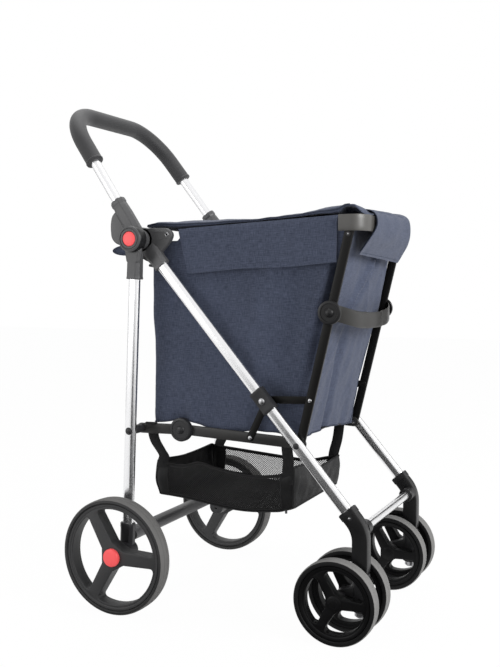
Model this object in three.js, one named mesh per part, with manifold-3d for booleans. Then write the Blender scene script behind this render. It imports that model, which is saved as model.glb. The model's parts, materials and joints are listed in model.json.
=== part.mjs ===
// Four-wheel folding shopping trolley with a fabric bag, an under-basket and a padded handle.
// Millimetres, +Z up. The person pushing stands at +Y and looks towards -Y; their left is +X.
// Origin: on the floor, midway between the front of the front tyres and the back of the handle.

import * as THREE from 'three';
import { mergeVertices } from 'three/addons/utils/BufferGeometryUtils.js';
import { ConvexGeometry } from 'three/addons/geometries/ConvexGeometry.js';
import Module from 'manifold-3d';

const wasm = await Module();
wasm.setup();

// ---------------------------------------------------------------- clearances
const seatGap = 0.3; // between pieces that rest on or fit in each other
const runGap = 0.4; // between pieces that turn or slide past each other

// ---------------------------------------------------------------- width, which the whole frame follows
const bagTopHalf = 157; // half of the bag's width at its rim
const bagBottomHalf = bagTopHalf - 14;
const frontLegX = bagTopHalf + 19; // middle planes of the legs, handle and casters
const rearLegX = frontLegX + 27;
const handleFootX = rearLegX + 2;
const casterX = frontLegX - 3;

// ---------------------------------------------------------------- wheels and axles
const rearWheelRadius = 120;
const rearWheelWidth = 36;
const rearTyreDepth = 9;
const rearRingDepth = 8; // of the rim's ring, inside the tyre
const rearRimOpening = rearWheelRadius - rearTyreDepth - rearRingDepth; // where the spokes end
const rearHubRadius = 24;
const rearSpokeWidth = 25;
const rearSpokeThickness = 14;
const rearAxleY = 178;
const rearWheelInner = rearLegX + 29; // inner face, distance from the middle plane
const capRadius = 18.5;
const capThickness = 8;

const frontWheelRadius = 82;
const frontWheelWidth = 27;
const frontTyreDepth = 10;
const frontRingDepth = 10;
const frontRimOpening = frontWheelRadius - frontTyreDepth - frontRingDepth;
const frontHubRadius = 15;
const frontSpokeWidth = 17;
const frontSpokeThickness = 12;
const frontAxleY = -287.5;
const twinPitch = 74; // between the middles of a pair of front wheels
const casterTrail = 38; // from the swivel axis back to the front axle
const axleRadius = 5;

// ---------------------------------------------------------------- folding frame, side view
const hubY = 154; // fold axis of the front legs and of the handle
const hubZ = 770.5;
const rearLegFootY = 181; // rear leg's middle line at axle height
const rearStayHeight = 373; // stay pivot on the rear leg
const frontLegLean = 40.8; // degrees from upright
const postPivotAlong = 534.5; // from the hub down the front leg to the post pivot
const rearStayLength = 98;
const stayRise = 5; // how far the fold joint stands above the line between the stay's ends
const strutPinAlong = 110; // from the post pivot along the front stay
const sliderPinAlong = 110; // from the post pivot up the front leg
const linkPinAlong = 90; // from the post pivot up the post
const postLean = 13.4; // degrees forward from upright
const postLength = 454;
const handleAngle = 53.8; // degrees above level
const handleOffset = 8; // the handle's tube line passes this far in front of the hub

// ---------------------------------------------------------------- tubes and bars
const legWidth = 16;
const legDepth = 25;
const tubeWall = 1.5;
const socketWall = 2.6;
const barHeight = 19; // stays and cross members
const postThickness = 8;
const postWidth = 18;
const frontStayThickness = 4.4;
const rearStayThickness = 4.8;
const strutThickness = 3;
const linkThickness = 4;
const smallBarWidth = 15; // strut and link
const pinRadius = 4;
const crossTubeDepth = 32;
const crossTubeHeight = 20;
const crossTubeZ = rearWheelRadius + 30;
const crossBarRadius = 6.5; // round bar between the forks
const crossBarZ = 213;

// ---------------------------------------------------------------- hub and handle
const hubRadius = 27.3;
const hubOuterX = rearLegX + 27;
const hubPlateX = rearLegX + 2.3; // inner face of the hub's ring
const buttonRadius = 15;
const buttonTravel = 4;
const buttonProud = 1;
const hubSocketLength = 82; // from the hub axis down the rear leg
const knuckleInnerX = frontLegX + 5;
const knuckleLength = 93;
const knuckleWidth = 33;
const knuckleDepth = 27;
const boltRadius = 5;
const handleTubeRadius = 10.5;
const handleTaper = 0.0915; // each side tube leans in this much per unit of length
const handleLength = 343.6; // from the hub to the middle of the cross grip
const handleCorner = 101.5;
const gripRadius = 18.2;
const gripStart = 198; // along the handle from the hub

// ---------------------------------------------------------------- front legs, forks and casters
const bracketInnerX = frontLegX - 7;
const bracketOuterX = frontLegX + 4.5;
const bracketSleeveEnd = 68; // from the hub down the leg
const legStart = 33;
const forkTopAlong = 688;
const legInFork = 42;
const forkWidth = 26;
const forkDepth = 34;
const forkBend = 60;
const forkBottomZ = 132;
const stemRadius = 6.5;
const stemBottomZ = 47;
const stemCapRadius = 12;
const stemCapHeight = 12;
const crossSocketRadius = 12; // round socket that holds the cross bar's end
const crossSocketLength = 24;
const crossBarGrip = 6; // from the fork's inner face to the end of the cross bar
const yokeRadius = 17;
const yokeBossRadius = 13;

// ---------------------------------------------------------------- bands across the posts
const bandHeight = 31;
const bandThickness = 3;
const topBandAlong = 441; // up the post
const topBandReach = 29; // in front of the post's middle line
const topBandCorner = 18;
const topBandBack = 24; // behind the post's middle line
const topBandBow = 2.5; // the middle of the front stands this far forward
const midBandAlong = 266;
const midBandReach = 34;
const midBandCorner = 34;
const midBandBack = -14;
const midBandBow = 3;
const midBandDroop = 30; // degrees
const midDiscRadius = 23.5;
const midDiscThickness = 6;

// ---------------------------------------------------------------- bag, lid and basket
const bagWall = 3;
const bagBottomZ = 384;
const bagRearBottomY = 137;
const bagRearTopY = 140;
const bagFrontInset = 4; // the front panel stands this far behind the posts' middle line
const rimRearZ = 788.6;
const rimSlope = 0.0512; // the rim rises towards the front
const cuffHeight = 90;
const cuffThickness = 5.5;
const cuffRearY = 72;
const rollHalf = bagTopHalf + 3;
const rollRearY = 228;
const rollZ = 752;
const lidThickness = 13;
const lidHalf = bagTopHalf - 1;
const lidOverhang = 12; // the lid's front corners stand this far in front of the bag
const flapHalf = bagTopHalf - 38;
const flapThickness = 4;
const flapDrop = 86;
const basketHalf = bagTopHalf - 26;
const basketWall = 3;
const basketTopZ = 297;
const basketBottomZ = 206;
const basketRearY = 153;
const basketFrontY = -172;
const tabWidth = 26;
const tabThickness = 3;

// ---------------------------------------------------------------- finishes
const finish = (color, roughness, metalness) =>
  new THREE.MeshStandardMaterial({ color, roughness, metalness });
const aluminium = finish(0xd6d7d9, 0.3, 0.95);
const steel = finish(0xb9bbbe, 0.35, 0.9);
const blackPlastic = finish(0x303133, 0.55, 0);
const barPaint = finish(0x2a2927, 0.5, 0.1);
const tyreRubber = finish(0x3c3c3e, 0.75, 0);
const gripFoam = finish(0x38383a, 0.85, 0);
const redPlastic = finish(0xe5424c, 0.4, 0);
const navyCloth = finish(0x3c4560, 0.95, 0);
const blackMesh = finish(0x18181a, 0.9, 0);

// ---------------------------------------------------------------- points of the side view, as [y, z]
const degrees = THREE.MathUtils.degToRad;
const along = ([y, z], angle, distance) => [
  y + distance * Math.cos(angle),
  z + distance * Math.sin(angle),
];
const distance = ([y0, z0], [y1, z1]) => Math.hypot(y1 - y0, z1 - z0);
const heading = ([y0, z0], [y1, z1]) => Math.atan2(z1 - z0, y1 - y0);

const hub = [hubY, hubZ];
const rearAxle = [rearAxleY, rearWheelRadius];
const frontAxle = [frontAxleY, frontWheelRadius];
const rearLegFoot = [rearLegFootY, rearWheelRadius];
const rearLegDown = heading(hub, rearLegFoot);
const onRearLeg = (z) => along(hub, rearLegDown, (z - hubZ) / Math.sin(rearLegDown));
const frontLegDown = degrees(270 - frontLegLean);
const onFrontLeg = (fromHub) => along(hub, frontLegDown, fromHub);
const postPivot = onFrontLeg(postPivotAlong);
const postUp = degrees(90 + postLean);
const onPost = (fromPivot) => along(postPivot, postUp, fromPivot);
const postTop = onPost(postLength);
const staySpan = heading(onRearLeg(rearStayHeight), postPivot);
const stayPivot = onRearLeg(rearStayHeight);
const foldJoint = along(stayPivot, staySpan - Math.asin(stayRise / rearStayLength), rearStayLength);
const frontStayBack = heading(postPivot, foldJoint);
const strutPin = along(postPivot, frontStayBack, strutPinAlong);
const sliderPin = onFrontLeg(postPivotAlong - sliderPinAlong);
const linkPin = onPost(linkPinAlong);
const swivelY = frontAxleY - casterTrail;

// ---------------------------------------------------------------- layers across the width
const frontLegInnerX = frontLegX - legWidth / 2;
const postOuterX = frontLegInnerX - 0.6;
const postInnerX = postOuterX - postThickness;
const frontStayOuterX = postInnerX - runGap;
const frontStayInnerX = frontStayOuterX - frontStayThickness;
const rearStayOuterX = postInnerX + rearStayThickness;
const strutOuterX = postInnerX + strutThickness;
const linkOuterX = frontStayOuterX;
const linkInnerX = linkOuterX - linkThickness;
const sleeveWidth = legWidth + 2 * (seatGap + socketWall);
const sleeveDepth = legDepth + 2 * (seatGap + socketWall);

// ---------------------------------------------------------------- solid helpers
const sideAxes = new THREE.Matrix4().makeBasis(
  new THREE.Vector3(0, 1, 0),
  new THREE.Vector3(0, 0, 1),
  new THREE.Vector3(1, 0, 0),
);

function solid(geometry) {
  const bare = geometry.clone();
  bare.deleteAttribute('normal');
  bare.deleteAttribute('uv');
  const merged = mergeVertices(bare, 1e-4);
  return new wasm.Manifold(
    new wasm.Mesh({
      numProp: 3,
      vertProperties: new Float32Array(merged.attributes.position.array),
      triVerts: new Uint32Array(merged.index.array),
    }),
  );
}

function geometryOf(body) {
  const { vertProperties, triVerts } = body.getMesh();
  const geometry = new THREE.BufferGeometry();
  geometry.setAttribute('position', new THREE.BufferAttribute(vertProperties, 3));
  geometry.setIndex(new THREE.BufferAttribute(triVerts, 1));
  geometry.computeVertexNormals();
  return geometry;
}

// A side-view outline, thickened from x0 to x1.
function plate(outline, x0, x1, curveSegments = 4) {
  const geometry = new THREE.ExtrudeGeometry(outline, {
    depth: x1 - x0,
    bevelEnabled: false,
    curveSegments,
  });
  geometry.applyMatrix4(sideAxes);
  geometry.translate(x0, 0, 0);
  return solid(geometry);
}

// A round bar along X.
function roundX(radius, [y, z], x0, x1, sides = 16) {
  const geometry = new THREE.CylinderGeometry(radius, radius, x1 - x0, sides);
  geometry.rotateZ(-Math.PI / 2);
  geometry.translate((x0 + x1) / 2, y, z);
  return solid(geometry);
}

// A round bar that stands upright.
function roundZ(radius, x, y, z0, z1, sides = 16) {
  const geometry = new THREE.CylinderGeometry(radius, radius, z1 - z0, sides);
  geometry.rotateX(Math.PI / 2);
  geometry.translate(x, y, (z0 + z1) / 2);
  return solid(geometry);
}

// A section in (across, in-plane) axes, swept straight from one side-view point to another.
function beam(section, x, from, to, curveSegments = 3) {
  const geometry = new THREE.ExtrudeGeometry(section, {
    depth: distance(from, to),
    bevelEnabled: false,
    curveSegments,
  });
  const angle = heading(from, to);
  const forward = new THREE.Vector3(0, Math.cos(angle), Math.sin(angle));
  const across = new THREE.Vector3(1, 0, 0);
  const normal = new THREE.Vector3().crossVectors(forward, across);
  geometry.applyMatrix4(new THREE.Matrix4().makeBasis(across, normal, forward));
  geometry.translate(x, from[0], from[1]);
  return solid(geometry);
}

// The convex solid around a list of points.
const hull = (points) => solid(new ConvexGeometry(points.map((p) => new THREE.Vector3(...p))));

// A bar's outline with round ends, from one side-view point to another.
function barOutline(from, to, width) {
  const angle = heading(from, to);
  const shape = new THREE.Shape();
  shape.absarc(to[0], to[1], width / 2, angle - Math.PI / 2, angle + Math.PI / 2, false);
  shape.absarc(from[0], from[1], width / 2, angle + Math.PI / 2, angle + 1.5 * Math.PI, false);
  return shape;
}

// An oval with straight long sides: wide along local x, deep along local y.
function ovalOutline(width, depth) {
  const reach = (depth - width) / 2;
  const shape = new THREE.Shape();
  shape.absarc(0, reach, width / 2, 0, Math.PI, false);
  shape.absarc(0, -reach, width / 2, Math.PI, 2 * Math.PI, false);
  return shape;
}

function ovalTubeOutline(width, depth, wall) {
  const shape = ovalOutline(width, depth);
  shape.holes.push(ovalOutline(width - 2 * wall, depth - 2 * wall));
  return shape;
}

function roundedOutline(width, depth, radius) {
  const w = width / 2 - radius;
  const d = depth / 2 - radius;
  const shape = new THREE.Shape();
  shape.absarc(w, d, radius, 0, Math.PI / 2, false);
  shape.absarc(-w, d, radius, Math.PI / 2, Math.PI, false);
  shape.absarc(-w, -d, radius, Math.PI, 1.5 * Math.PI, false);
  shape.absarc(w, -d, radius, 1.5 * Math.PI, 2 * Math.PI, false);
  return shape;
}

function circleOutline(radius) {
  const shape = new THREE.Shape();
  shape.absarc(0, 0, radius, 0, 2 * Math.PI, false);
  return shape;
}

function polygonOutline(points) {
  const shape = new THREE.Shape();
  points.forEach(([y, z], i) => (i ? shape.lineTo(y, z) : shape.moveTo(y, z)));
  return shape;
}

function piece(name, body, material) {
  const geometry = body.isBufferGeometry ? body : geometryOf(body);
  const mesh = new THREE.Mesh(geometry, material);
  mesh.name = name;
  return mesh;
}

// ---------------------------------------------------------------- wheels, built around the X axis
// The tyre's flats touch the floor: the polygon is drawn round the circle, with a flat at the bottom.
function turned(profile, sides) {
  const points = profile.map(([radius, x]) => new THREE.Vector2(radius, x));
  const geometry = new THREE.LatheGeometry([...points, points[0]], sides);
  geometry.rotateZ(-Math.PI / 2);
  geometry.rotateX(Math.PI / sides);
  return solid(geometry);
}

function tyre(radius, depth, width, sides) {
  const outer = radius / Math.cos(Math.PI / sides);
  const inner = (radius - depth) / Math.cos(Math.PI / sides);
  const shoulder = width * 0.22;
  return turned(
    [
      [inner, -width / 2],
      [outer - shoulder * 0.6, -width / 2],
      [outer, -width / 2 + shoulder],
      [outer, width / 2 - shoulder],
      [outer - shoulder * 0.6, width / 2],
      [inner, width / 2],
    ],
    sides,
  );
}

// Three spokes join the hub to the ring; the first points towards the front.
function rim(ringOuter, opening, width, hubR, hubWidth, spokeWidth, spokeThickness, sides) {
  const ringOuterCorner = ringOuter / Math.cos(Math.PI / sides);
  let body = turned(
    [
      [opening, -width / 2],
      [ringOuterCorner, -width / 2],
      [ringOuterCorner, width / 2],
      [opening, width / 2],
    ],
    sides,
  );
  body = body.add(roundX(hubR, [0, 0], -hubWidth / 2, hubWidth / 2));
  const root = spokeWidth * 0.62;
  const tip = spokeWidth * 0.5;
  const end = (opening + ringOuter) / 2;
  for (let i = 0; i < 3; i += 1) {
    const angle = Math.PI + (i * 2 * Math.PI) / 3;
    const turn = ([r, s]) => [
      r * Math.cos(angle) - s * Math.sin(angle),
      r * Math.sin(angle) + s * Math.cos(angle),
    ];
    const spoke = polygonOutline([[0, -root], [end, -tip], [end, tip], [0, root]].map(turn));
    body = body.add(plate(spoke, -spokeThickness / 2, spokeThickness / 2));
  }
  return body.subtract(roundX(axleRadius + seatGap, [0, 0], -hubWidth, hubWidth));
}

const rearSides = 36;
const frontSides = 28;
const rearHubWidth = rearWheelWidth - 8;
const frontHubWidth = frontWheelWidth - 3;
const rearTyre = tyre(rearWheelRadius, rearTyreDepth, rearWheelWidth, rearSides);
const rearRim = rim(
  rearWheelRadius - rearTyreDepth - seatGap, rearRimOpening, rearWheelWidth - 6,
  rearHubRadius, rearHubWidth, rearSpokeWidth, rearSpokeThickness, rearSides,
);
const frontTyre = tyre(frontWheelRadius, frontTyreDepth, frontWheelWidth, frontSides);
const frontRim = rim(
  frontWheelRadius - frontTyreDepth - seatGap, frontRimOpening, frontWheelWidth - 4,
  frontHubRadius, frontHubWidth, frontSpokeWidth, frontSpokeThickness, frontSides,
);
const rearWheelX = rearWheelInner + rearWheelWidth / 2;
const hubFaceX = rearWheelX + rearHubWidth / 2;
const wheelCap = roundX(capRadius, rearAxle, hubFaceX + seatGap, hubFaceX + seatGap + capThickness);

// ---------------------------------------------------------------- rear frame
const legTube = ovalTubeOutline(legWidth, legDepth, tubeWall);
const legBore = ovalOutline(legWidth + 2 * seatGap, legDepth + 2 * seatGap);
const sleeveOutline = ovalOutline(sleeveWidth, sleeveDepth);

const rearLegTop = along(hub, rearLegDown, hubRadius + 8);
const rearLegBottom = onRearLeg(rearWheelRadius + 22);
const rearLeg = beam(legTube, rearLegX, rearLegTop, rearLegBottom);

const footTop = onRearLeg(rearWheelRadius + 58);
const footBossX = rearWheelX - rearHubWidth / 2 - seatGap;
const footInnerX = rearLegX - sleeveWidth / 2;
const rearFoot = beam(sleeveOutline, rearLegX, footTop, onRearLeg(rearWheelRadius - 2))
  .add(roundX(sleeveDepth / 2 + 3, rearAxle, footInnerX, footBossX))
  .subtract(beam(legBore, rearLegX, along(footTop, rearLegDown, -1), rearLegBottom))
  .subtract(roundX(axleRadius + seatGap, rearAxle, rearLegX - 5, footBossX + 1));
const rearAxlePin = roundX(axleRadius, rearAxle, rearLegX - 4, hubFaceX - 1);

const crossTubeY = onRearLeg(crossTubeZ)[0];
const crossTubeEndX = footInnerX - seatGap;
const crossTube = plate(
  barOutline(
    [crossTubeY - (crossTubeDepth - crossTubeHeight) / 2, crossTubeZ],
    [crossTubeY + (crossTubeDepth - crossTubeHeight) / 2, crossTubeZ],
    crossTubeHeight,
  ),
  -crossTubeEndX,
  crossTubeEndX,
);

const hubSocketEnd = along(hub, rearLegDown, hubSocketLength);
const belowSocket = along(hubSocketEnd, rearLegDown, sleeveDepth);
const hubSocketX0 = rearLegX - sleeveWidth / 2 - 2;
const hubSocketX1 = rearLegX + sleeveWidth / 2 + 3;
const buttonFloorX = hubPlateX + 4;
const hubHousing = plate(barOutline(hub, hubSocketEnd, sleeveDepth), hubSocketX0, hubSocketX1)
  .subtract(beam(roundedOutline(2 * sleeveDepth, 2 * sleeveDepth, 2), rearLegX, hubSocketEnd, belowSocket))
  .subtract(roundX(hubRadius + 0.7, hub, hubSocketX0 - 5, hubPlateX, 28))
  .add(roundX(hubRadius, hub, hubPlateX, hubOuterX, 28))
  .subtract(roundX(buttonRadius + seatGap, hub, buttonFloorX, hubOuterX + 1, 20))
  .subtract(
    beam(legBore, rearLegX, along(rearLegTop, rearLegDown, -seatGap), along(hubSocketEnd, rearLegDown, 1)),
  );
const button = roundX(
  buttonRadius, hub, buttonFloorX + buttonTravel + seatGap, hubOuterX + buttonProud, 20,
);

const stayBolt = roundX(barHeight / 2, stayPivot, rearStayOuterX + runGap, rearLegX - legWidth / 2 - seatGap)
  .add(roundX(pinRadius, stayPivot, frontStayInnerX + seatGap, rearStayOuterX + 2));

const boltHeadX = bracketInnerX - seatGap;
const foldBolt = roundX(boltRadius, hub, boltHeadX - 1, hubPlateX - seatGap)
  .add(roundX(9, hub, boltHeadX - 3, boltHeadX));

// ---------------------------------------------------------------- handle
// The U lies in the plane through the X axis and the handle's direction.
const handleUp = degrees(handleAngle);
const handleFoot = along(hub, handleUp + Math.PI / 2, handleOffset);
function onHandle(x, fromHub) {
  const [y, z] = along(handleFoot, handleUp, fromHub);
  return new THREE.Vector3(x, y, z);
}
const handleSideX = (fromHub) => handleFootX - handleTaper * fromHub;

const taperAngle = Math.atan(handleTaper);
const cornerAlong = handleLength - handleCorner;
const cornerX = handleSideX(cornerAlong) - handleCorner / Math.cos(taperAngle);
const cornerSteps = 6;
const handleSides = 10;

// The left half of the U as stations [x, along, heading], from a start on the side tube to the middle.
function handleHalf(startAlong) {
  const stations = [[handleSideX(startAlong), startAlong, taperAngle]];
  for (let i = 0; i <= cornerSteps; i += 1) {
    const angle = taperAngle + ((Math.PI / 2 - taperAngle) * i) / cornerSteps;
    stations.push([
      cornerX + handleCorner * Math.cos(angle),
      cornerAlong + handleCorner * Math.sin(angle),
      angle,
    ]);
  }
  return stations;
}

// A round or ring-shaped section carried along the U, from the left end to the right end.
function handleSweep(startAlong, outerRadius, innerRadius = 0) {
  const half = handleHalf(startAlong);
  const mirrored = half.map(([x, s, angle]) => [-x, s, Math.PI - angle]).reverse();
  const stations = [...half, ...mirrored];
  const lift = new THREE.Vector3(0, -Math.sin(handleUp), Math.cos(handleUp));
  const tube = (radius) => {
    const geometry = new THREE.CylinderGeometry(radius, radius, 1, handleSides, stations.length - 1);
    const position = geometry.attributes.position;
    for (let i = 0; i < position.count; i += 1) {
      const row = Math.round((0.5 - position.getY(i)) * (stations.length - 1));
      const [x, s, angle] = stations[row];
      const point = onHandle(
        x + position.getX(i) * Math.cos(angle),
        s + position.getX(i) * Math.sin(angle),
      ).addScaledVector(lift, -position.getZ(i));
      position.setXYZ(i, point.x, point.y, point.z);
    }
    return solid(geometry);
  };
  return innerRadius ? tube(outerRadius).subtract(tube(innerRadius)) : tube(outerRadius);
}

const handleTubeStart = 46;
const handleTube = handleSweep(handleTubeStart, handleTubeRadius, handleTubeRadius - tubeWall);
const handleGrip = handleSweep(gripStart, gripRadius, handleTubeRadius + seatGap);

const socketFrom = onHandle(handleSideX(12), 12);
const socketTo = onHandle(handleSideX(knuckleLength), knuckleLength);
const tubeDirection = new THREE.Vector3().subVectors(socketTo, socketFrom).normalize();

// A section swept straight along the handle's side tube.
function alongTube(section, from, to, curveSegments = 4) {
  const start = onHandle(handleSideX(from), from);
  const length = start.distanceTo(onHandle(handleSideX(to), to));
  const geometry = new THREE.ExtrudeGeometry(section, { depth: length, bevelEnabled: false, curveSegments });
  const normal = new THREE.Vector3().crossVectors(tubeDirection, new THREE.Vector3(1, 0, 0)).normalize();
  const across = new THREE.Vector3().crossVectors(normal, tubeDirection);
  geometry.applyMatrix4(new THREE.Matrix4().makeBasis(across, normal, tubeDirection));
  geometry.translate(start.x, start.y, start.z);
  return solid(geometry);
}

const finInnerX = rearLegX - 13;
const finOuterX = rearLegX - 1;
const finPoints = [[0, -24], [34, -16], [56, -4], [63, 22], [60, 46], [46, 58], [20, 40]];
const knuckle = alongTube(roundedOutline(knuckleDepth, knuckleWidth, 7), 12, knuckleLength)
  .add(plate(polygonOutline(finPoints.map(([y, z]) => [hubY + y, hubZ + z])), finInnerX, finOuterX))
  .subtract(roundX(hubRadius + 0.7, hub, hubPlateX - seatGap, hubOuterX, 28))
  .subtract(roundX(hubRadius, hub, knuckleInnerX - 10, hubPlateX - seatGap, 28))
  .add(roundX(hubRadius + 0.2, hub, knuckleInnerX, hubPlateX - seatGap, 28))
  .subtract(
    alongTube(
      circleOutline(handleTubeRadius + 2 * seatGap), handleTubeStart - seatGap, knuckleLength + 2, 8,
    ),
  )
  .subtract(roundX(boltRadius + seatGap, hub, knuckleInnerX - 1, hubPlateX + 1));

// ---------------------------------------------------------------- front legs
const legEnd = onFrontLeg(forkTopAlong + legInFork);
const pivotHeadX = frontStayInnerX - runGap;
const frontLeg = beam(legTube, frontLegX, onFrontLeg(legStart), legEnd)
  .add(roundX(pinRadius, postPivot, pivotHeadX - 1, frontLegInnerX + tubeWall))
  .add(roundX(7, postPivot, pivotHeadX - 2, pivotHeadX));

const eyelet = [94, 780];
const bracketPoints = [[160, 794], [90, 793.5], [80, 781], [85, 767], [103, 746], [150, 752]];
const bracket = plate(polygonOutline(bracketPoints), bracketInnerX, bracketOuterX)
  .add(roundX(20, hub, bracketInnerX, bracketOuterX))
  .add(beam(sleeveOutline, frontLegX, onFrontLeg(29), onFrontLeg(bracketSleeveEnd)))
  .subtract(beam(legBore, frontLegX, onFrontLeg(legStart - seatGap), onFrontLeg(bracketSleeveEnd + 1)))
  .subtract(roundX(boltRadius + seatGap, hub, bracketInnerX - 1, bracketOuterX + 1))
  .subtract(roundX(3.5, eyelet, bracketInnerX - 1, bracketOuterX + 1, 16));

// The fork follows the leg, then bends to upright over the swivel axis.
function forkOutline() {
  const half = forkDepth / 2;
  const bendCentre = [swivelY + forkBend, 0];
  const bendStartY = swivelY + forkBend * (1 - Math.cos(degrees(frontLegLean)));
  const bendStartAlong = (hubY - bendStartY) / -Math.cos(frontLegDown);
  const [startY, startZ] = onFrontLeg(bendStartAlong);
  bendCentre[1] = startZ - forkBend * Math.sin(degrees(frontLegLean));
  const facing = Math.atan2(startZ - bendCentre[1], startY - bendCentre[0]);
  const top = onFrontLeg(forkTopAlong);
  const frontTop = along(top, facing, half);
  const backTop = along(top, facing, -half);
  const shape = new THREE.Shape();
  shape.moveTo(...frontTop);
  shape.absarc(...bendCentre, forkBend + half, facing, Math.PI, false);
  shape.lineTo(swivelY - half, forkBottomZ);
  shape.lineTo(swivelY + half, forkBottomZ);
  shape.absarc(...bendCentre, forkBend - half, Math.PI, facing, true);
  shape.lineTo(...backTop);
  return shape;
}

const forkInnerX = casterX - forkWidth / 2;
const forkOuterX = casterX + forkWidth / 2 + 2;
const crossBarY = swivelY + 3;
const crossBarEndX = forkInnerX - crossBarGrip;
const crossSocketEndX = forkInnerX - crossSocketLength;
const fork = plate(forkOutline(), forkInnerX, forkOuterX)
  .add(roundX(crossSocketRadius, [crossBarY, crossBarZ], crossSocketEndX, forkInnerX + 2))
  .subtract(
    roundX(
      crossBarRadius + seatGap, [crossBarY, crossBarZ], crossSocketEndX - 1, crossBarEndX + seatGap, 20,
    ),
  )
  .subtract(beam(legBore, frontLegX, onFrontLeg(forkTopAlong - 1), along(legEnd, frontLegDown, seatGap)))
  .add(roundZ(stemRadius, casterX, swivelY, stemBottomZ + 1, forkBottomZ + 2))
  .add(roundZ(stemCapRadius, casterX, swivelY, stemBottomZ, stemBottomZ + stemCapHeight));
const crossBar = roundX(crossBarRadius, [crossBarY, crossBarZ], -crossBarEndX, crossBarEndX, 20);

// ---------------------------------------------------------------- caster yoke with its axle
const wheelOffset = twinPitch / 2;
const bossHalf = wheelOffset - frontWheelWidth / 2 - 2;
const axleHalf = wheelOffset + frontHubWidth / 2;
const yokeTopZ = forkBottomZ - runGap;
const yokeBottomZ = stemBottomZ + stemCapHeight + runGap;
const yoke = roundZ(yokeRadius, casterX, swivelY, yokeBottomZ, yokeTopZ)
  .add(
    hull([
      [casterX - 12, swivelY, frontWheelRadius - 14],
      [casterX + 12, swivelY, frontWheelRadius - 14],
      [casterX - 12, swivelY, frontWheelRadius + 26],
      [casterX + 12, swivelY, frontWheelRadius + 26],
      [casterX - 12, frontAxleY, frontWheelRadius - 11],
      [casterX + 12, frontAxleY, frontWheelRadius - 11],
      [casterX - 12, frontAxleY, frontWheelRadius + 11],
      [casterX + 12, frontAxleY, frontWheelRadius + 11],
    ]),
  )
  .add(roundX(yokeBossRadius, frontAxle, casterX - bossHalf, casterX + bossHalf))
  .add(roundX(axleRadius, frontAxle, casterX - axleHalf, casterX + axleHalf))
  .subtract(roundZ(stemRadius + runGap, casterX, swivelY, yokeBottomZ - 1, yokeTopZ + 1));

// ---------------------------------------------------------------- stays, strut, slider, link and posts
const discRadius = 21.5;
const discOuterX = rearStayOuterX + 4;
const rearStay = plate(barOutline(stayPivot, foldJoint, barHeight), postInnerX, rearStayOuterX)
  .add(roundX(discRadius, foldJoint, postInnerX, discOuterX, 24))
  .add(roundX(7, foldJoint, discOuterX - 1, discOuterX + 1, 12))
  .subtract(roundX(pinRadius + seatGap, stayPivot, postInnerX - 1, rearStayOuterX + 1));
const frontStay = plate(barOutline(foldJoint, postPivot, barHeight), frontStayInnerX, frontStayOuterX)
  .subtract(roundX(pinRadius + seatGap, postPivot, frontStayInnerX - 1, frontStayOuterX + 1));

const sliderHalf = 25;
const sliderFaceX = frontLegX - sleeveWidth / 2;
const slider = beam(
  sleeveOutline, frontLegX,
  along(sliderPin, frontLegDown, -sliderHalf), along(sliderPin, frontLegDown, sliderHalf),
)
  .subtract(
    beam(
      legBore, frontLegX,
      along(sliderPin, frontLegDown, -sliderHalf - 1), along(sliderPin, frontLegDown, sliderHalf + 1),
    ),
  )
  .add(roundX(pinRadius, sliderPin, linkInnerX, sliderFaceX + 1))
  .add(roundX(5, sliderPin, frontLegX + sleeveWidth / 2 - 1, frontLegX + sleeveWidth / 2 + 1.5));
const strut = plate(barOutline(sliderPin, strutPin, smallBarWidth), postInnerX, strutOuterX)
  .subtract(roundX(pinRadius + seatGap, sliderPin, postInnerX - 1, strutOuterX + 1))
  .add(roundX(4.5, strutPin, strutOuterX - 1, strutOuterX + 1.6, 10));
const link = plate(barOutline(sliderPin, linkPin, smallBarWidth), linkInnerX, linkOuterX)
  .subtract(roundX(pinRadius + seatGap, sliderPin, linkInnerX - 1, linkOuterX + 1));

const post = plate(barOutline(postPivot, postTop, postWidth), postInnerX, postOuterX)
  .subtract(roundX(pinRadius + seatGap, postPivot, postInnerX - 1, postOuterX + 1))
  .add(roundX(4.5, linkPin, postOuterX - 0.5, postOuterX + 1.2, 10))
  .add(roundX(4.5, postTop, postOuterX - 0.5, postOuterX + 1.2, 10));

// ---------------------------------------------------------------- bands across the front
const bandInnerX = postOuterX + seatGap;

// A flat strip bent into a U: open at the back, round at both front corners, bowed across the front.
function bandOutline(reach, corner, back, bow) {
  const inner = corner - bandThickness;
  const centreY = corner - reach;
  const start = Math.asin(Math.min(0, back - centreY) / corner);
  const centreX = bandInnerX + bandThickness - corner * Math.cos(start);
  const shape = new THREE.Shape();
  if (back > centreY) {
    shape.moveTo(centreX + corner, back);
    shape.lineTo(centreX + inner, back);
  }
  shape.absarc(centreX, centreY, inner, start, -Math.PI / 2, true);
  shape.quadraticCurveTo(0, centreY - inner - 2 * bow, -centreX, centreY - inner);
  shape.absarc(-centreX, centreY, inner, -Math.PI / 2, -Math.PI - start, true);
  if (back > centreY) {
    shape.lineTo(-centreX - inner, back);
    shape.lineTo(-centreX - corner, back);
  }
  shape.absarc(-centreX, centreY, corner, Math.PI - start, 1.5 * Math.PI, false);
  shape.quadraticCurveTo(0, centreY - corner - 2 * bow, centreX, centreY - corner);
  shape.absarc(centreX, centreY, corner, 1.5 * Math.PI, 2 * Math.PI + start, false);
  return shape;
}

function band(reach, corner, back, bow, droop, [y, z]) {
  const geometry = new THREE.ExtrudeGeometry(bandOutline(reach, corner, back, bow), {
    depth: bandHeight,
    bevelEnabled: false,
    curveSegments: 5,
  });
  geometry.translate(0, 0, -bandHeight / 2);
  geometry.rotateX(degrees(droop));
  geometry.translate(0, y, z);
  return solid(geometry);
}

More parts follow.
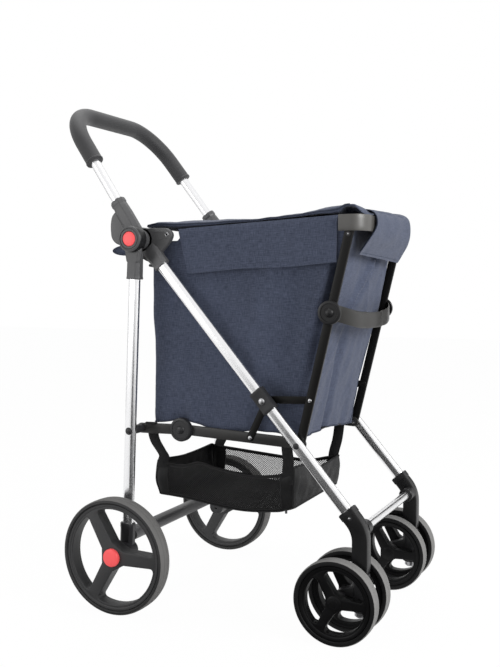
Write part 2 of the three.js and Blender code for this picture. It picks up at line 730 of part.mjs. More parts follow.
const topBandPoint = onPost(topBandAlong);
const topBand = band(topBandReach, topBandCorner, topBandBack, topBandBow, 0, topBandPoint)
  .subtract(roundX(5.2, postTop, bandInnerX - 1, bandInnerX + 1.2, 16))
  .subtract(roundX(5.2, postTop, -bandInnerX - 1.2, -bandInnerX + 1, 16));
const midBandPoint = onPost(midBandAlong);
const midDiscOuterX = bandInnerX + midDiscThickness;
const midBand = band(midBandReach, midBandCorner, midBandBack, midBandBow, midBandDroop, midBandPoint)
  .add(roundX(midDiscRadius, midBandPoint, bandInnerX, midDiscOuterX, 20))
  .add(roundX(midDiscRadius, midBandPoint, -midDiscOuterX, -bandInnerX, 20))
  .add(roundX(7, midBandPoint, midDiscOuterX - 1, midDiscOuterX + 1.5, 10))
  .add(roundX(7, midBandPoint, -midDiscOuterX - 1.5, -midDiscOuterX + 1, 10));

// ---------------------------------------------------------------- bag
const rimZ = (y) => rimRearZ + (bagRearTopY - y) * rimSlope;
const postMiddleY = (z) => postPivot[0] - (z - postPivot[1]) * Math.tan(degrees(postLean));
const bagFrontY = (z) => postMiddleY(z) + bagFrontInset;
const bagRearY = (z) =>
  bagRearBottomY + ((bagRearTopY - bagRearBottomY) * (z - bagBottomZ)) / (rimRearZ - bagBottomZ);
const bagHalf = (z) =>
  bagBottomHalf + ((bagTopHalf - bagBottomHalf) * (z - bagBottomZ)) / (rimRearZ - bagBottomZ);
const bagFrontTopZ = rimZ(bagFrontY(rimRearZ));

// A box whose ends follow the bag, drawn in by a wall, between two heights at each end.
function bagBlock(wall, bottom, rearTop, frontTop) {
  const corners = [];
  for (const sign of [-1, 1]) {
    corners.push([sign * (bagHalf(bottom) - wall), bagRearY(bottom) - wall, bottom]);
    corners.push([sign * (bagHalf(bottom) - wall), bagFrontY(bottom) + wall, bottom]);
    corners.push([sign * (bagHalf(rearTop) - wall), bagRearY(rearTop) - wall, rearTop]);
    corners.push([sign * (bagHalf(rearTop) - wall), bagFrontY(frontTop) + wall, frontTop]);
  }
  return hull(corners);
}

// A slab on the bag's side that hangs from the rim, with its front edge along the post.
function cuff() {
  const corners = [];
  const frontY = (z) => postMiddleY(z) + postWidth / 2 / Math.cos(degrees(postLean)) + seatGap;
  const rimFrontZ = rimZ(postMiddleY(rimRearZ));
  for (const x of [bagTopHalf - 6, bagTopHalf + cuffThickness]) {
    corners.push([x, cuffRearY, rimZ(cuffRearY)]);
    corners.push([x, cuffRearY - 10, rimZ(cuffRearY) - cuffHeight]);
    corners.push([x, frontY(rimFrontZ), rimFrontZ]);
    corners.push([x, frontY(rimFrontZ - cuffHeight), rimFrontZ - cuffHeight]);
  }
  return hull(corners);
}

// The rear edge of the cloth runs back between the hubs and is rolled there.
const rearRoll = hull(
  [-rollHalf, rollHalf].flatMap((x) => [
    [x, rollRearY, rollZ + 4],
    [x, rollRearY, rollZ - 8],
    [x, rollRearY - 10, rollZ + 13],
    [x, rollRearY - 34, rollZ + 13],
    [x, rollRearY - 34, rollZ - 14],
  ]),
).add(
  hull(
    [-rollHalf, rollHalf].flatMap((x) => [
      [x, rollRearY - 30, rollZ + 12],
      [x, rollRearY - 30, rollZ + 8],
      [x, bagRearTopY - 2, rollZ + 26],
      [x, bagRearTopY - 2, rollZ + 30],
    ]),
  ),
);
const mouthClear = 60; // the cavity's block stands this far out of the bag's mouth
const bagCavity = bagBlock(bagWall, bagBottomZ + bagWall, rimRearZ + mouthClear, bagFrontTopZ + mouthClear);
const mirrorX = (body) => body.scale([-1, 1, 1]);
const bag = bagBlock(0, bagBottomZ, rimRearZ, bagFrontTopZ)
  .add(cuff())
  .add(mirrorX(cuff()))
  .add(rearRoll)
  .subtract(bagCavity);

// ---------------------------------------------------------------- lid and front flap
const lidRearY = bagRearTopY - 6;
const bandFrontY = topBandPoint[0] - topBandReach - topBandBow;
const lidFrontY = bandFrontY - seatGap - flapThickness;
const lidCornerY = bagFrontY(rimRearZ) - lidOverhang;
const lidCorners = [-lidHalf, lidHalf].flatMap((x) => [
  [x, lidRearY, rimZ(lidRearY) + seatGap],
  [x, lidRearY, rimZ(lidRearY) + seatGap + lidThickness],
  [x, lidCornerY, rimZ(lidCornerY) + seatGap],
  [x, lidCornerY, rimZ(lidCornerY) + seatGap + lidThickness],
]);
const bandTopZ = topBandPoint[1] + bandHeight / 2;
const lidNoseZ = Math.max(bandTopZ, rimZ(lidFrontY)) + seatGap;
const lidNose = hull(
  [-flapHalf, flapHalf].flatMap((x) => [
    [x, bagFrontY(rimRearZ) + 8, lidNoseZ],
    [x, bagFrontY(rimRearZ) + 8, lidNoseZ + 6],
    [x, lidFrontY, lidNoseZ],
    [x, lidFrontY, lidNoseZ + 6],
  ]),
);
const lid = hull(lidCorners).add(lidNose);

const flapTopZ = lidNoseZ - seatGap;
const flapKneeZ = bandTopZ - bandHeight;
const flapBottomZ = flapTopZ - flapDrop;
const flapBottomY = bandFrontY + (flapKneeZ - flapBottomZ) * 0.42;
const flapOutline = polygonOutline([
  [bandFrontY - seatGap, flapTopZ],
  [bandFrontY - seatGap, flapKneeZ],
  [flapBottomY, flapBottomZ],
  [flapBottomY - flapThickness, flapBottomZ],
  [lidFrontY, flapKneeZ],
  [lidFrontY, flapTopZ],
]);
const frontFlap = plate(flapOutline, -flapHalf, flapHalf);

// ---------------------------------------------------------------- basket, hung by four tabs
function basketBlock(wall, bottom, top) {
  const sag = 18; // the ends of the floor curve up this much
  return hull(
    [-basketHalf + wall, basketHalf - wall].flatMap((x) => [
      [x, basketRearY - wall, top],
      [x, basketRearY - wall, bottom + sag],
      [x, basketRearY - wall - 60, bottom],
      [x, basketFrontY + wall + 50, bottom],
      [x, basketFrontY + wall + 14, bottom + sag],
      [x, basketFrontY + wall, top],
    ]),
  );
}

function basketTab(topX, topY, topZ, lowY) {
  const points = [];
  for (const step of [0, tabThickness]) {
    points.push([topX - step, topY, topZ], [topX - step, topY - tabWidth, topZ]);
    const lowX = basketHalf - step;
    points.push([lowX, lowY, basketTopZ - 8], [lowX, lowY - tabWidth, basketTopZ - 8]);
  }
  return hull(points);
}

const rearTabY = stayPivot[0] - 24;
const frontTabY = postPivot[0] + 44;
const tabTop = (y) => {
  const rear = y > foldJoint[0];
  const [from, to] = rear ? [stayPivot, foldJoint] : [foldJoint, postPivot];
  const lowest = (at) => from[1] + ((to[1] - from[1]) * (at - from[0])) / (to[0] - from[0]);
  return Math.min(lowest(y), lowest(y - tabWidth)) - barHeight / 2 - seatGap;
};
const rearTab = basketTab(rearStayOuterX, rearTabY, tabTop(rearTabY), basketRearY - 1);
const frontTab = basketTab(frontStayOuterX, frontTabY, tabTop(frontTabY), basketFrontY + 30);
const basket = basketBlock(0, basketBottomZ, basketTopZ)
  .subtract(basketBlock(basketWall, basketBottomZ + basketWall, basketTopZ + 40))
  .add(rearTab)
  .add(mirrorX(rearTab))
  .add(frontTab)
  .add(mirrorX(frontTab));

// ---------------------------------------------------------------- assembly
function wheelAt(name, body, material, x, [y, z]) {
  const mesh = piece(name, body, material);
  mesh.position.set(x, y, z);
  return mesh;
}

const trolley = new THREE.Group();
for (const [side, sign] of [['left', 1], ['right', -1]]) {
  const half = new THREE.Group();
  half.scale.x = sign;
  half.add(
    piece(`rear_leg_${side}`, rearLeg, aluminium),
    piece(`rear_foot_${side}`, rearFoot, blackPlastic),
    piece(`rear_axle_${side}`, rearAxlePin, steel),
    piece(`hub_housing_${side}`, hubHousing, blackPlastic),
    piece(`hub_button_${side}`, button, redPlastic),
    piece(`stay_bolt_${side}`, stayBolt, blackPlastic),
    piece(`fold_bolt_${side}`, foldBolt, steel),
    piece(`handle_knuckle_${side}`, knuckle, blackPlastic),
    piece(`front_leg_${side}`, frontLeg, aluminium),
    piece(`leg_bracket_${side}`, bracket, blackPlastic),
    piece(`front_fork_${side}`, fork, blackPlastic),
    piece(`caster_yoke_${side}`, yoke, blackPlastic),
    piece(`rear_stay_${side}`, rearStay, barPaint),
    piece(`front_stay_${side}`, frontStay, barPaint),
    piece(`slider_${side}`, slider, blackPlastic),
    piece(`strut_${side}`, strut, barPaint),
    piece(`link_${side}`, link, barPaint),
    piece(`post_${side}`, post, barPaint),
    wheelAt(`rear_rim_${side}`, rearRim, blackPlastic, rearWheelX, rearAxle),
    wheelAt(`rear_tyre_${side}`, rearTyre, tyreRubber, rearWheelX, rearAxle),
    piece(`rear_cap_${side}`, wheelCap, redPlastic),
  );
  for (const [place, offset] of [['outer', wheelOffset], ['inner', -wheelOffset]]) {
    const x = casterX + offset;
    half.add(
      wheelAt(`front_rim_${side}_${place}`, frontRim, blackPlastic, x, frontAxle),
      wheelAt(`front_tyre_${side}_${place}`, frontTyre, tyreRubber, x, frontAxle),
    );
  }
  trolley.add(half);
}
trolley.add(
  piece('rear_cross_tube', crossTube, barPaint),
  piece('front_cross_bar', crossBar, aluminium),
  piece('handle_tube', handleTube, aluminium),
  piece('handle_grip', handleGrip, gripFoam),
  piece('top_band', topBand, barPaint),
  piece('mid_band', midBand, barPaint),
  piece('bag', bag, navyCloth),
  piece('lid', lid, navyCloth),
  piece('front_flap', frontFlap, navyCloth),
  piece('basket', basket, blackMesh),
);

export default trolley;
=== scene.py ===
# %% [markdown]
# # A folding shopping trolley
# The trolley stands on two large rear wheels and two pairs of small swivel wheels. Oval aluminium legs
# cross at a black hub on each side, flat black bars fold between them, and a navy cloth bag hangs
# from the upper bars with a black nylon basket below. Every piece here takes its place from the
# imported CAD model, which also says which pieces turn together.

# %% Load the frame
import json
import math

import bmesh
import bpy
import numpy as np
from mathutils import Matrix, Vector, noise


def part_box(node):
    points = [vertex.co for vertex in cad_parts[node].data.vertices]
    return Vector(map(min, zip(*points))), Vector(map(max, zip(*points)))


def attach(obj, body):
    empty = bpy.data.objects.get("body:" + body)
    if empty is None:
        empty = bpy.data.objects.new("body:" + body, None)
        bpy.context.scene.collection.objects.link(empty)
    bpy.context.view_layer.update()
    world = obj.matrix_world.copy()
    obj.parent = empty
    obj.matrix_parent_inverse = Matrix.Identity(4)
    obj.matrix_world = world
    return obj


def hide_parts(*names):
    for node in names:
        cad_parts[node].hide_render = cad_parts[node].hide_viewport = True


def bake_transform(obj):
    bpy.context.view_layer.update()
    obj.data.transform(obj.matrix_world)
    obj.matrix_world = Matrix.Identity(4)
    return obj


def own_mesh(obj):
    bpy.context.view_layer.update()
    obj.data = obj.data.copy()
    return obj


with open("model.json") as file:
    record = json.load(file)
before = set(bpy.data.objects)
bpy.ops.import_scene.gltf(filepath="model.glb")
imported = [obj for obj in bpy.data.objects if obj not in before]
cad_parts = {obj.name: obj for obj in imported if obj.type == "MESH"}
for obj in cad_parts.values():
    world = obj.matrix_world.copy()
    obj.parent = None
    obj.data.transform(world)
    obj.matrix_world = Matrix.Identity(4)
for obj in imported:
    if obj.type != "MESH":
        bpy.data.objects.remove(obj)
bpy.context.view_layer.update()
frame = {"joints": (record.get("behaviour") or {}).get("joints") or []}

MM = 0.001
joints = {joint["name"]: joint for joint in frame["joints"]}

# %% [markdown]
# ## Camera
# The trolley is seen from its front right, a little above the middle of the bag. A 48 mm lens from two
# metres keeps the near wheels larger than the far ones, as an eye would see them in a shop.

# %% Camera
scene = bpy.context.scene


def linked(name, data):
    """A new object in the scene for this data."""
    obj = bpy.data.objects.new(name, data)
    scene.collection.objects.link(obj)
    return obj


camera_data = bpy.data.cameras.new("camera")
camera_data.lens = 48.29
camera_data.sensor_width = 36
camera = linked("camera", camera_data)
scene.camera = camera
camera.location = (-1.7675, -0.8558, 0.6830)
camera.rotation_mode = "QUATERNION"
camera.rotation_quaternion = Vector((0.9003, 0.4315, -0.0575)).to_track_quat("-Z", "Y")
print("camera at", tuple(camera.location))

# %% [markdown]
# ## Floor, light and world
# Bright metal is only as good as what it mirrors. The world is white for the camera and for
# reflections, and each polished tube gets its dark edge from black cards that reflections alone can
# see. Three area lamps do the rest: a key from the front, a weak fill from the rear and one from above.

# %% World and lamps
scene.view_settings.view_transform = "Standard"
world = bpy.data.worlds.new("studio")
scene.world = world
world.use_nodes = True
world_nodes = world.node_tree.nodes
world_links = world.node_tree.links
background = world_nodes["Background"]
light_path = world_nodes.new("ShaderNodeLightPath")


def seen_mask(tree, path):
    """1 for rays that should meet plain white: those of the camera, of mirrors and of glass."""
    first = tree.nodes.new("ShaderNodeMath")
    first.operation = "MAXIMUM"
    tree.links.new(path.outputs["Is Camera Ray"], first.inputs[0])
    tree.links.new(path.outputs["Is Glossy Ray"], first.inputs[1])
    both = tree.nodes.new("ShaderNodeMath")
    both.operation = "MAXIMUM"
    tree.links.new(first.outputs[0], both.inputs[0])
    tree.links.new(path.outputs["Is Transmission Ray"], both.inputs[1])
    return both.outputs[0]


ambient = world_nodes.new("ShaderNodeMix")
ambient.data_type = "FLOAT"
ambient.inputs["A"].default_value = 0.56
ambient.inputs["B"].default_value = 1.0
world_links.new(seen_mask(world.node_tree, light_path), ambient.inputs["Factor"])
world_links.new(ambient.outputs["Result"], background.inputs["Strength"])
background.inputs["Color"].default_value = (1, 1, 1, 1)


def area_lamp(name, power, size, place, target):
    data = bpy.data.lights.new(name, "AREA")
    data.energy = power
    data.size = size
    lamp = linked(name, data)
    lamp.location = place
    aim = Vector(target) - Vector(place)
    lamp.rotation_mode = "QUATERNION"
    lamp.rotation_quaternion = aim.to_track_quat("-Z", "Y")


area_lamp("key_lamp", 74, 1.4, (-0.35, -2.7, 1.6), (0, 0, 0.5))
area_lamp("fill_lamp", 12, 0.9, (-2.0, 1.6, 1.0), (0, 0.2, 0.5))
area_lamp("top_lamp", 24, 1.6, (0.2, 0.3, 2.6), (0, 0, 0.6))

# %% [markdown]
# The floor is one wide white square. To the camera and to mirrors it glows nearly white, with a trace
# of the shadows under the wheels, and to all other light it is a pale, dull floor. Three tall cards
# stand round the trolley. One more lies on the floor and one stands low beside it, because the oval
# legs mirror the floor as much as the walls.

# %% Floor


def plain_mesh(name, vertices, faces):
    mesh = bpy.data.meshes.new(name)
    mesh.from_pydata([tuple(v) for v in vertices], [], faces)
    return linked(name, mesh)


floor_half = 9.0
floor = plain_mesh(
    "floor",
    [(x * floor_half, y * floor_half, 0) for x, y in ((-1, -1), (1, -1), (1, 1), (-1, 1))],
    [(0, 1, 2, 3)],
)
floor_finish = bpy.data.materials.new("pale floor")
floor_finish.use_nodes = True
floor_tree = floor_finish.node_tree
floor_base = floor_tree.nodes["Principled BSDF"]
floor_base.inputs["Base Color"].default_value = (0.9, 0.9, 0.9, 1)
floor_base.inputs["Roughness"].default_value = 0.9
floor_glow = floor_tree.nodes.new("ShaderNodeEmission")
floor_glow.inputs["Color"].default_value = (1, 1, 1, 1)
floor_mix = floor_tree.nodes.new("ShaderNodeMixShader")
floor_path = floor_tree.nodes.new("ShaderNodeLightPath")
floor_share = floor_tree.nodes.new("ShaderNodeMath")
floor_share.operation = "MULTIPLY"
floor_share.inputs[1].default_value = 0.975
floor_tree.links.new(seen_mask(floor_tree, floor_path), floor_share.inputs[0])
floor_tree.links.new(floor_share.outputs[0], floor_mix.inputs[0])
floor_tree.links.new(floor_base.outputs[0], floor_mix.inputs[1])
floor_tree.links.new(floor_glow.outputs[0], floor_mix.inputs[2])
floor_tree.links.new(floor_mix.outputs[0], floor_tree.nodes["Material Output"].inputs["Surface"])
floor.data.materials.append(floor_finish)
print("floor", floor_half * 2, "m wide")

# %% Black cards
card_finish = bpy.data.materials.new("black card")
card_finish.use_nodes = True
card_shader = card_finish.node_tree.nodes["Principled BSDF"]
card_shader.inputs["Base Color"].default_value = (0.02, 0.02, 0.02, 1)
card_shader.inputs["Roughness"].default_value = 1.0
card_distance, card_height = 3.2, 2.6


def black_card(name, corners):
    """A flat black shape that only reflections can see."""
    card = plain_mesh(name, corners, [tuple(range(len(corners)))])
    card.data.materials.append(card_finish)
    card.visible_camera = False
    card.visible_diffuse = False
    card.visible_shadow = False
    return card


def tall_card(name, degrees, width):
    """A card that faces the trolley from an angle, counted from the front towards the left."""
    angle = math.radians(degrees)
    middle = Vector((math.sin(angle), -math.cos(angle), 0)) * card_distance
    side = Vector((math.cos(angle), math.sin(angle), 0)) * width / 2
    up = Vector((0, 0, card_height))
    return black_card(name, [middle - side, middle + side, middle + side + up, middle - side + up])


lying = [(-0.22, 0.34), (-0.22, -1.8), (-3.2, -1.0), (-3.0, 1.6), (-1.2, 0.44)]
cards = [
    tall_card("card_front", 8, 0.75),
    tall_card("card_back", 150, 1.1),
    tall_card("card_right", 75, 0.8),
    black_card("card_low", [(x, y, 0.003) for x, y in lying]),
    black_card("card_far", [(-3.1, -0.9, 0), (-3.1, 1.15, 0), (-3.1, 1.15, 0.3), (-3.1, -0.9, 0.3)]),
]
print("stage", floor.name, len(cards), "cards")

# %% [markdown]
# ## Places from the frame
# A side view of the trolley is a plan of pivots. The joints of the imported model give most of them, and
# the boxes of the bars give the rest, so nothing here is measured twice. Side-view points are (y, z)
# pairs in metres.

# %% Pivots and directions


def side_point(joint):
    return Vector(joints[joint]["pos_m"][1:])


def low(node):
    """The corner of a node's box with the smallest numbers."""
    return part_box(node)[0]


def high(node):
    """The corner with the largest."""
    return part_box(node)[1]


hub = side_point("handle_fold")
stay_pivot = side_point("rear_stay_fold")
post_pivot = side_point("post_fold")
slider_pin = side_point("strut_swing")
rear_axle = side_point("rear_wheel_spin_left")
front_axle = side_point("front_wheel_spin_left_outer")
caster_x = joints["caster_swivel_left"]["pos_m"][0]
swivel_y = joints["caster_swivel_left"]["pos_m"][1]
bar_half = 9.5 * MM
small_bar_half = 7.5 * MM
fold_joint = Vector((high("front_stay_left").y, high("front_stay_left").z)) - Vector((1, 1)) * bar_half
strut_pin = Vector((high("strut_left").y - small_bar_half, low("strut_left").z + small_bar_half))
link_pin = Vector((low("link_left").y + small_bar_half, high("link_left").z - small_bar_half))
leg_down = -Vector(joints["slider_travel"]["axis"][1:]).normalized()
post_lean = math.radians(13.4)
post_up = Vector((-math.sin(post_lean), math.cos(post_lean)))
post_top = post_pivot + post_up * 454 * MM
rear_leg_down = (Vector((rear_axle.x + 3 * MM, rear_axle.y)) - hub).normalized()
rear_leg_x = 203 * MM
front_leg_x = 176 * MM
print("fold joint", fold_joint[:], "strut pin", strut_pin[:], "link pin", link_pin[:])


def at(x, point):
    """A side-view point, moved x out from the middle plane."""
    return Vector((x, point[0], point[1]))


def span(node):
    """The layer that a left-hand node takes up across the width."""
    return low(node).x, high(node).x

# %% [markdown]
# ## Ways to make a mesh
# Most of the trolley is one of four shapes: a flat outline with a thickness, a profile turned on an
# axle, a section swept along a path, or several of those fused into one moulding. Each has a short
# function, and a last one mirrors the left piece to the right.

# %% Cleaning and shading a mesh


def smooth(mesh, angle=35):
    """Smooth shading, with a crease wherever two faces meet at more than this angle."""
    mesh.shade_smooth()
    mesh.set_sharp_from_angle(angle=math.radians(angle))


def cleaned(mesh, weld=False, outward=True):
    """Welds doubled points where asked, and turns every face outwards."""
    bm = bmesh.new()
    bm.from_mesh(mesh)
    if weld:
        bmesh.ops.remove_doubles(bm, verts=bm.verts, dist=1e-6)
    if outward:
        bmesh.ops.recalc_face_normals(bm, faces=bm.faces)
    bm.to_mesh(mesh)
    bm.free()


def grid_faces(rows, columns, close_rows=False, close_columns=True):
    """Four-cornered faces over points kept row by row. Either way round can close on itself."""
    return [
        (i * columns + k, i * columns + (k + 1) % columns,
         (i + 1) % rows * columns + (k + 1) % columns, (i + 1) % rows * columns + k)
        for i in range(rows if close_rows else rows - 1)
        for k in range(columns if close_columns else columns - 1)
    ]


def build(name, vertices, faces, material, angle=35):
    """A mesh with one finish, its faces outwards and its shading smooth."""
    obj = plain_mesh(name, vertices, faces)
    cleaned(obj.data)
    obj.data.materials.append(material)
    smooth(obj.data, angle)
    return obj


def baked(obj):
    """The object's mesh with its modifiers applied, in place of the old mesh."""
    bpy.context.view_layer.update()
    graph = bpy.context.evaluated_depsgraph_get()
    made = bpy.data.meshes.new_from_object(obj.evaluated_get(graph))
    obj.modifiers.clear()
    if obj.type == "MESH":
        obj.data = made
        return obj
    name = obj.name
    bpy.data.objects.remove(obj)
    return linked(name, made)


def skinned(obj, material, angle=35):
    """One finish over the whole mesh, and smooth shading."""
    obj.data.materials.clear()
    obj.data.materials.append(material)
    smooth(obj.data, angle)
    return obj

# %% Joining, mirroring and placing


def joined(name, parts):
    """Several meshes as one, with each part's own materials kept."""
    bm = bmesh.new()
    materials = []
    for part in parts:
        start = len(bm.faces)
        bm.from_mesh(part.data)
        bm.faces.ensure_lookup_table()
        for face in bm.faces[start:]:
            own = part.data.materials[face.material_index]
            if own not in materials:
                materials.append(own)
            face.material_index = materials.index(own)
    mesh = bpy.data.meshes.new(name)
    bm.to_mesh(mesh)
    bm.free()
    for material in materials:
        mesh.materials.append(material)
    for part in parts:
        bpy.data.objects.remove(part)
    smooth(mesh)
    return linked(name, mesh)


def mirrored(obj, name):
    """The same piece on the other side of the middle plane."""
    mesh = obj.data.copy()
    mesh.transform(Matrix.Scale(-1, 4, (1, 0, 0)))
    mesh.flip_normals()
    return linked(name, mesh)


def place(obj, body, nodes=(), slot=None):
    """The piece rides on a body and stands for its CAD nodes, which are hidden. The slot is not used."""
    if nodes:
        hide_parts(*nodes)
    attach(obj, body)
    return obj


def both_sides(obj, stem, body, slot, node=None):
    """Puts the left piece and its mirror on their bodies. A body or node name may hold {side}."""
    obj.name = f"{stem}_left"
    twin = mirrored(obj, f"{stem}_right")
    for piece, side in ((obj, "left"), (twin, "right")):
        nodes = [node.format(side=side)] if node else []
        place(piece, body.format(side=side), nodes, slot)
    return obj, twin

# %% Flat outlines with a thickness


def arc(centre, radius, start, end, steps=16):
    """Side-view points round a circle, with angles in degrees from +Y towards +Z."""
    angles = np.radians(np.linspace(start, end, steps + 1))
    return [Vector((centre[0] + radius * math.cos(a), centre[1] + radius * math.sin(a))) for a in angles]


def bar_outline(start, end, half, steps=16):
    """A bar with round ends, from one side-view point to another."""
    heading = math.degrees(math.atan2(end[1] - start[1], end[0] - start[0]))
    tip = arc(end, half, heading - 90, heading + 90, steps)
    tail = arc(start, half, heading + 90, heading + 270, steps)
    return tip + tail


def add_line(curve, points, closed=True):
    """One more line of straight steps on a curve."""
    spline = curve.splines.new("POLY")
    spline.points.add(len(points) - 1)
    for knot, point in zip(spline.points, points):
        knot.co = (*point, 1)
    spline.use_cyclic_u = closed


def plate(name, outline, x0, x1, material, bevel=0.6 * MM, holes=()):
    """A side-view outline between two layers, with rounded edges and any round or shaped holes."""
    curve = bpy.data.curves.new(name, "CURVE")
    curve.dimensions = "2D"
    curve.fill_mode = "BOTH"
    curve.extrude = (x1 - x0) / 2 - bevel
    curve.bevel_depth = bevel
    curve.bevel_resolution = 2
    curve.offset = -bevel
    for ring in (outline, *holes):
        add_line(curve, [(y, z, 0) for y, z in ring])
    obj = baked(linked(name, curve))
    across = Matrix(((0, 0, 1, (x0 + x1) / 2), (1, 0, 0, 0), (0, 1, 0, 0), (0, 0, 0, 1)))
    obj.data.transform(across)
    cleaned(obj.data, weld=True)
    return skinned(obj, material)

# %% Profiles turned on an axle


def in_mm(*pairs):
    """Pairs given in millimetres, as metres."""
    return [(a * MM, b * MM) for a, b in pairs]


def turned(name, profile, centre, material, steps=72, closed=True):
    """Turns (radius, x) pairs about the X axis through a side-view point."""
    angles = [2 * math.pi * i / steps for i in range(steps)]
    vertices = [
        (x, centre[0] + r * math.cos(a), centre[1] + r * math.sin(a)) for a in angles for r, x in profile
    ]
    obj = build(name, vertices, grid_faces(steps, len(profile), True, closed), material)
    cleaned(obj.data, weld=True, outward=False)
    smooth(obj.data)
    return obj


def bend_point(start, corner, end, t):
    """The point at share t on a bend from start to end, pulled towards the corner."""
    return start * (1 - t) ** 2 + corner * 2 * t * (1 - t) + end * t**2


def rounded_profile(corners, radius, steps=4):
    """The same (radius, x) or (y, z) ring with each corner rounded off."""
    ring = [Vector(c) for c in corners]
    out = []
    for i, corner in enumerate(ring):
        before = ring[i - 1] - corner
        after = ring[(i + 1) % len(ring)] - corner
        cut = min(radius, before.length * 0.45, after.length * 0.45)
        start = corner + before.normalized() * cut
        end = corner + after.normalized() * cut
        out += [bend_point(start, corner, end, k / steps) for k in range(steps + 1)]
    return out


def pin(name, radius, centre, x0, x1, material, dome=0.0, edge=0.5 * MM):
    """A round head or rod along X, with soft edges and, if wanted, a domed outer face."""
    face = [(radius * c, x1 + dome * (1 - c * c)) for c in (0.0, 0.35, 0.65, 0.88)]
    rim = [(radius, x1 - edge), (radius - edge * 0.4, x1 - edge * 0.3)]
    return turned(name, [(0, x0), (radius, x0), *rim, *face[::-1]], centre, material, 32, closed=False)

# %% Sections swept along a path


def end_caps(rows, columns):
    """The two faces that close the first and the last row of a grid."""
    return [tuple(range(columns)), tuple(range((rows - 1) * columns, rows * columns))]


def swept(name, section, stations, material, angle=35):
    """Carries a section along stations of (point, across, up, width scale, up scale)."""
    vertices = []
    for point, across, up, wide, tall in stations:
        vertices += [point + across * (u * wide) + up * (v * tall) for u, v in section]
    rows, columns = len(stations), len(section)
    faces = grid_faces(rows, columns) + end_caps(rows, columns)
    return build(name, vertices, faces, material, angle)


def straight(start, end, across, scales=((0, 1, 1), (1, 1, 1))):
    """Stations along a straight line, each with its share of the way and its two scales."""
    forward = (end - start).normalized()
    up = forward.cross(across).normalized()
    side = up.cross(forward).normalized()
    return [(start.lerp(end, t), side, up, wide, tall) for t, wide, tall in scales]


def oval_section(width, depth, steps=10):
    """Flat sides and round ends: wide along the first axis, deep along the second."""
    half, reach = width / 2, (depth - width) / 2
    top = [(half * math.cos(a), reach + half * math.sin(a)) for a in np.linspace(0, math.pi, steps + 1)]
    return top + [(-u, -v) for u, v in top]


def rounded_section(width, depth, radius, steps=4):
    w, d = width / 2, depth / 2
    return [tuple(p) for p in rounded_profile([(w, d), (-w, d), (-w, -d), (w, -d)], radius, steps)]


def circle_section(radius, steps=24):
    angles = np.linspace(0, 2 * math.pi, steps, endpoint=False)
    return [(radius * math.cos(a), radius * math.sin(a)) for a in angles]

# %% Mouldings fused from several shells


def fused(name, parts, material, voxel=0.9 * MM, rounds=5, keep=0.35):
    """One moulding from overlapping shells: remeshed into one skin, softened, then thinned out."""
    obj = joined(name, parts)
    remesh = obj.modifiers.new("one skin", "REMESH")
    remesh.mode = "VOXEL"
    remesh.voxel_size = voxel
    soften = obj.modifiers.new("soften", "SMOOTH")
    soften.factor = 0.5
    soften.iterations = rounds
    thin = obj.modifiers.new("thin out", "DECIMATE")
    thin.ratio = keep
    baked(obj)
    print(name, len(obj.data.polygons), "faces")
    return skinned(obj, material, 50)

# %% [markdown]
# ## Surface effects shared by the finishes
# Fine grain, worn edges with a painted highlight along them, a melange weave and a net each turn up in
# more than one finish, so each is a node group with its own inputs. A group gives only masks and heights.
# The shader stays in the material, where it can be read without opening the group.

# %% A small language for node trees


def new_group(name, inputs, outputs):
    """An empty node group with float inputs, given as (name, value), and float outputs."""
    group = bpy.data.node_groups.new(name, "ShaderNodeTree")
    for label, value in inputs:
        socket = group.interface.new_socket(name=label, in_out="INPUT", socket_type="NodeSocketFloat")
        socket.default_value = value
    for label in outputs:
        group.interface.new_socket(name=label, in_out="OUTPUT", socket_type="NodeSocketFloat")
    return group, group.nodes.new("NodeGroupInput"), group.nodes.new("NodeGroupOutput")


def connect(tree, value, socket):
    """Links a socket to another, or sets it to a plain number."""
    if isinstance(value, bpy.types.NodeSocket):
        tree.links.new(value, socket)
    else:
        socket.default_value = value


def math_node(tree, operation, a, b=0.0, clamp=False):
    node = tree.nodes.new("ShaderNodeMath")
    node.operation = operation
    node.use_clamp = clamp
    connect(tree, a, node.inputs[0])
    connect(tree, b, node.inputs[1])
    return node.outputs[0]


def noise_node(tree, vector, scale, detail=2.0, roughness=0.5):
    node = tree.nodes.new("ShaderNodeTexNoise")
    if vector is not None:
        tree.links.new(vector, node.inputs["Vector"])
    connect(tree, scale, node.inputs["Scale"])
    node.inputs["Detail"].default_value = detail
    node.inputs["Roughness"].default_value = roughness
    return node.outputs["Fac"]


def ramped(tree, value, low_in, high_in, low_out=0.0, high_out=1.0):
    node = tree.nodes.new("ShaderNodeMapRange")
    node.clamp = True
    connect(tree, value, node.inputs["Value"])
    for socket, number in zip(node.inputs[1:5], (low_in, high_in, low_out, high_out)):
        socket.default_value = number
    return node.outputs["Result"]


def vector_of(tree, x, y, z):
    node = tree.nodes.new("ShaderNodeCombineXYZ")
    for socket, value in zip(node.inputs, (x, y, z)):
        connect(tree, value, socket)
    return node.outputs[0]


def own_coordinates(tree):
    return tree.nodes.new("ShaderNodeTexCoord").outputs["Object"]

# %% Grain, and worn edges with a painted highlight
grain, grain_in, grain_out = new_group("fine grain", [("Scale", 900.0)], ["Height", "Patches"])
grain_place = own_coordinates(grain)
grain_height = noise_node(grain, grain_place, grain_in.outputs["Scale"], 3.0, 0.6)
grain.links.new(grain_height, grain_out.inputs["Height"])
grain_patches = noise_node(grain, grain_place, 16.0, 3.0, 0.55)
grain.links.new(ramped(grain, grain_patches, 0.3, 0.7), grain_out.inputs["Patches"])
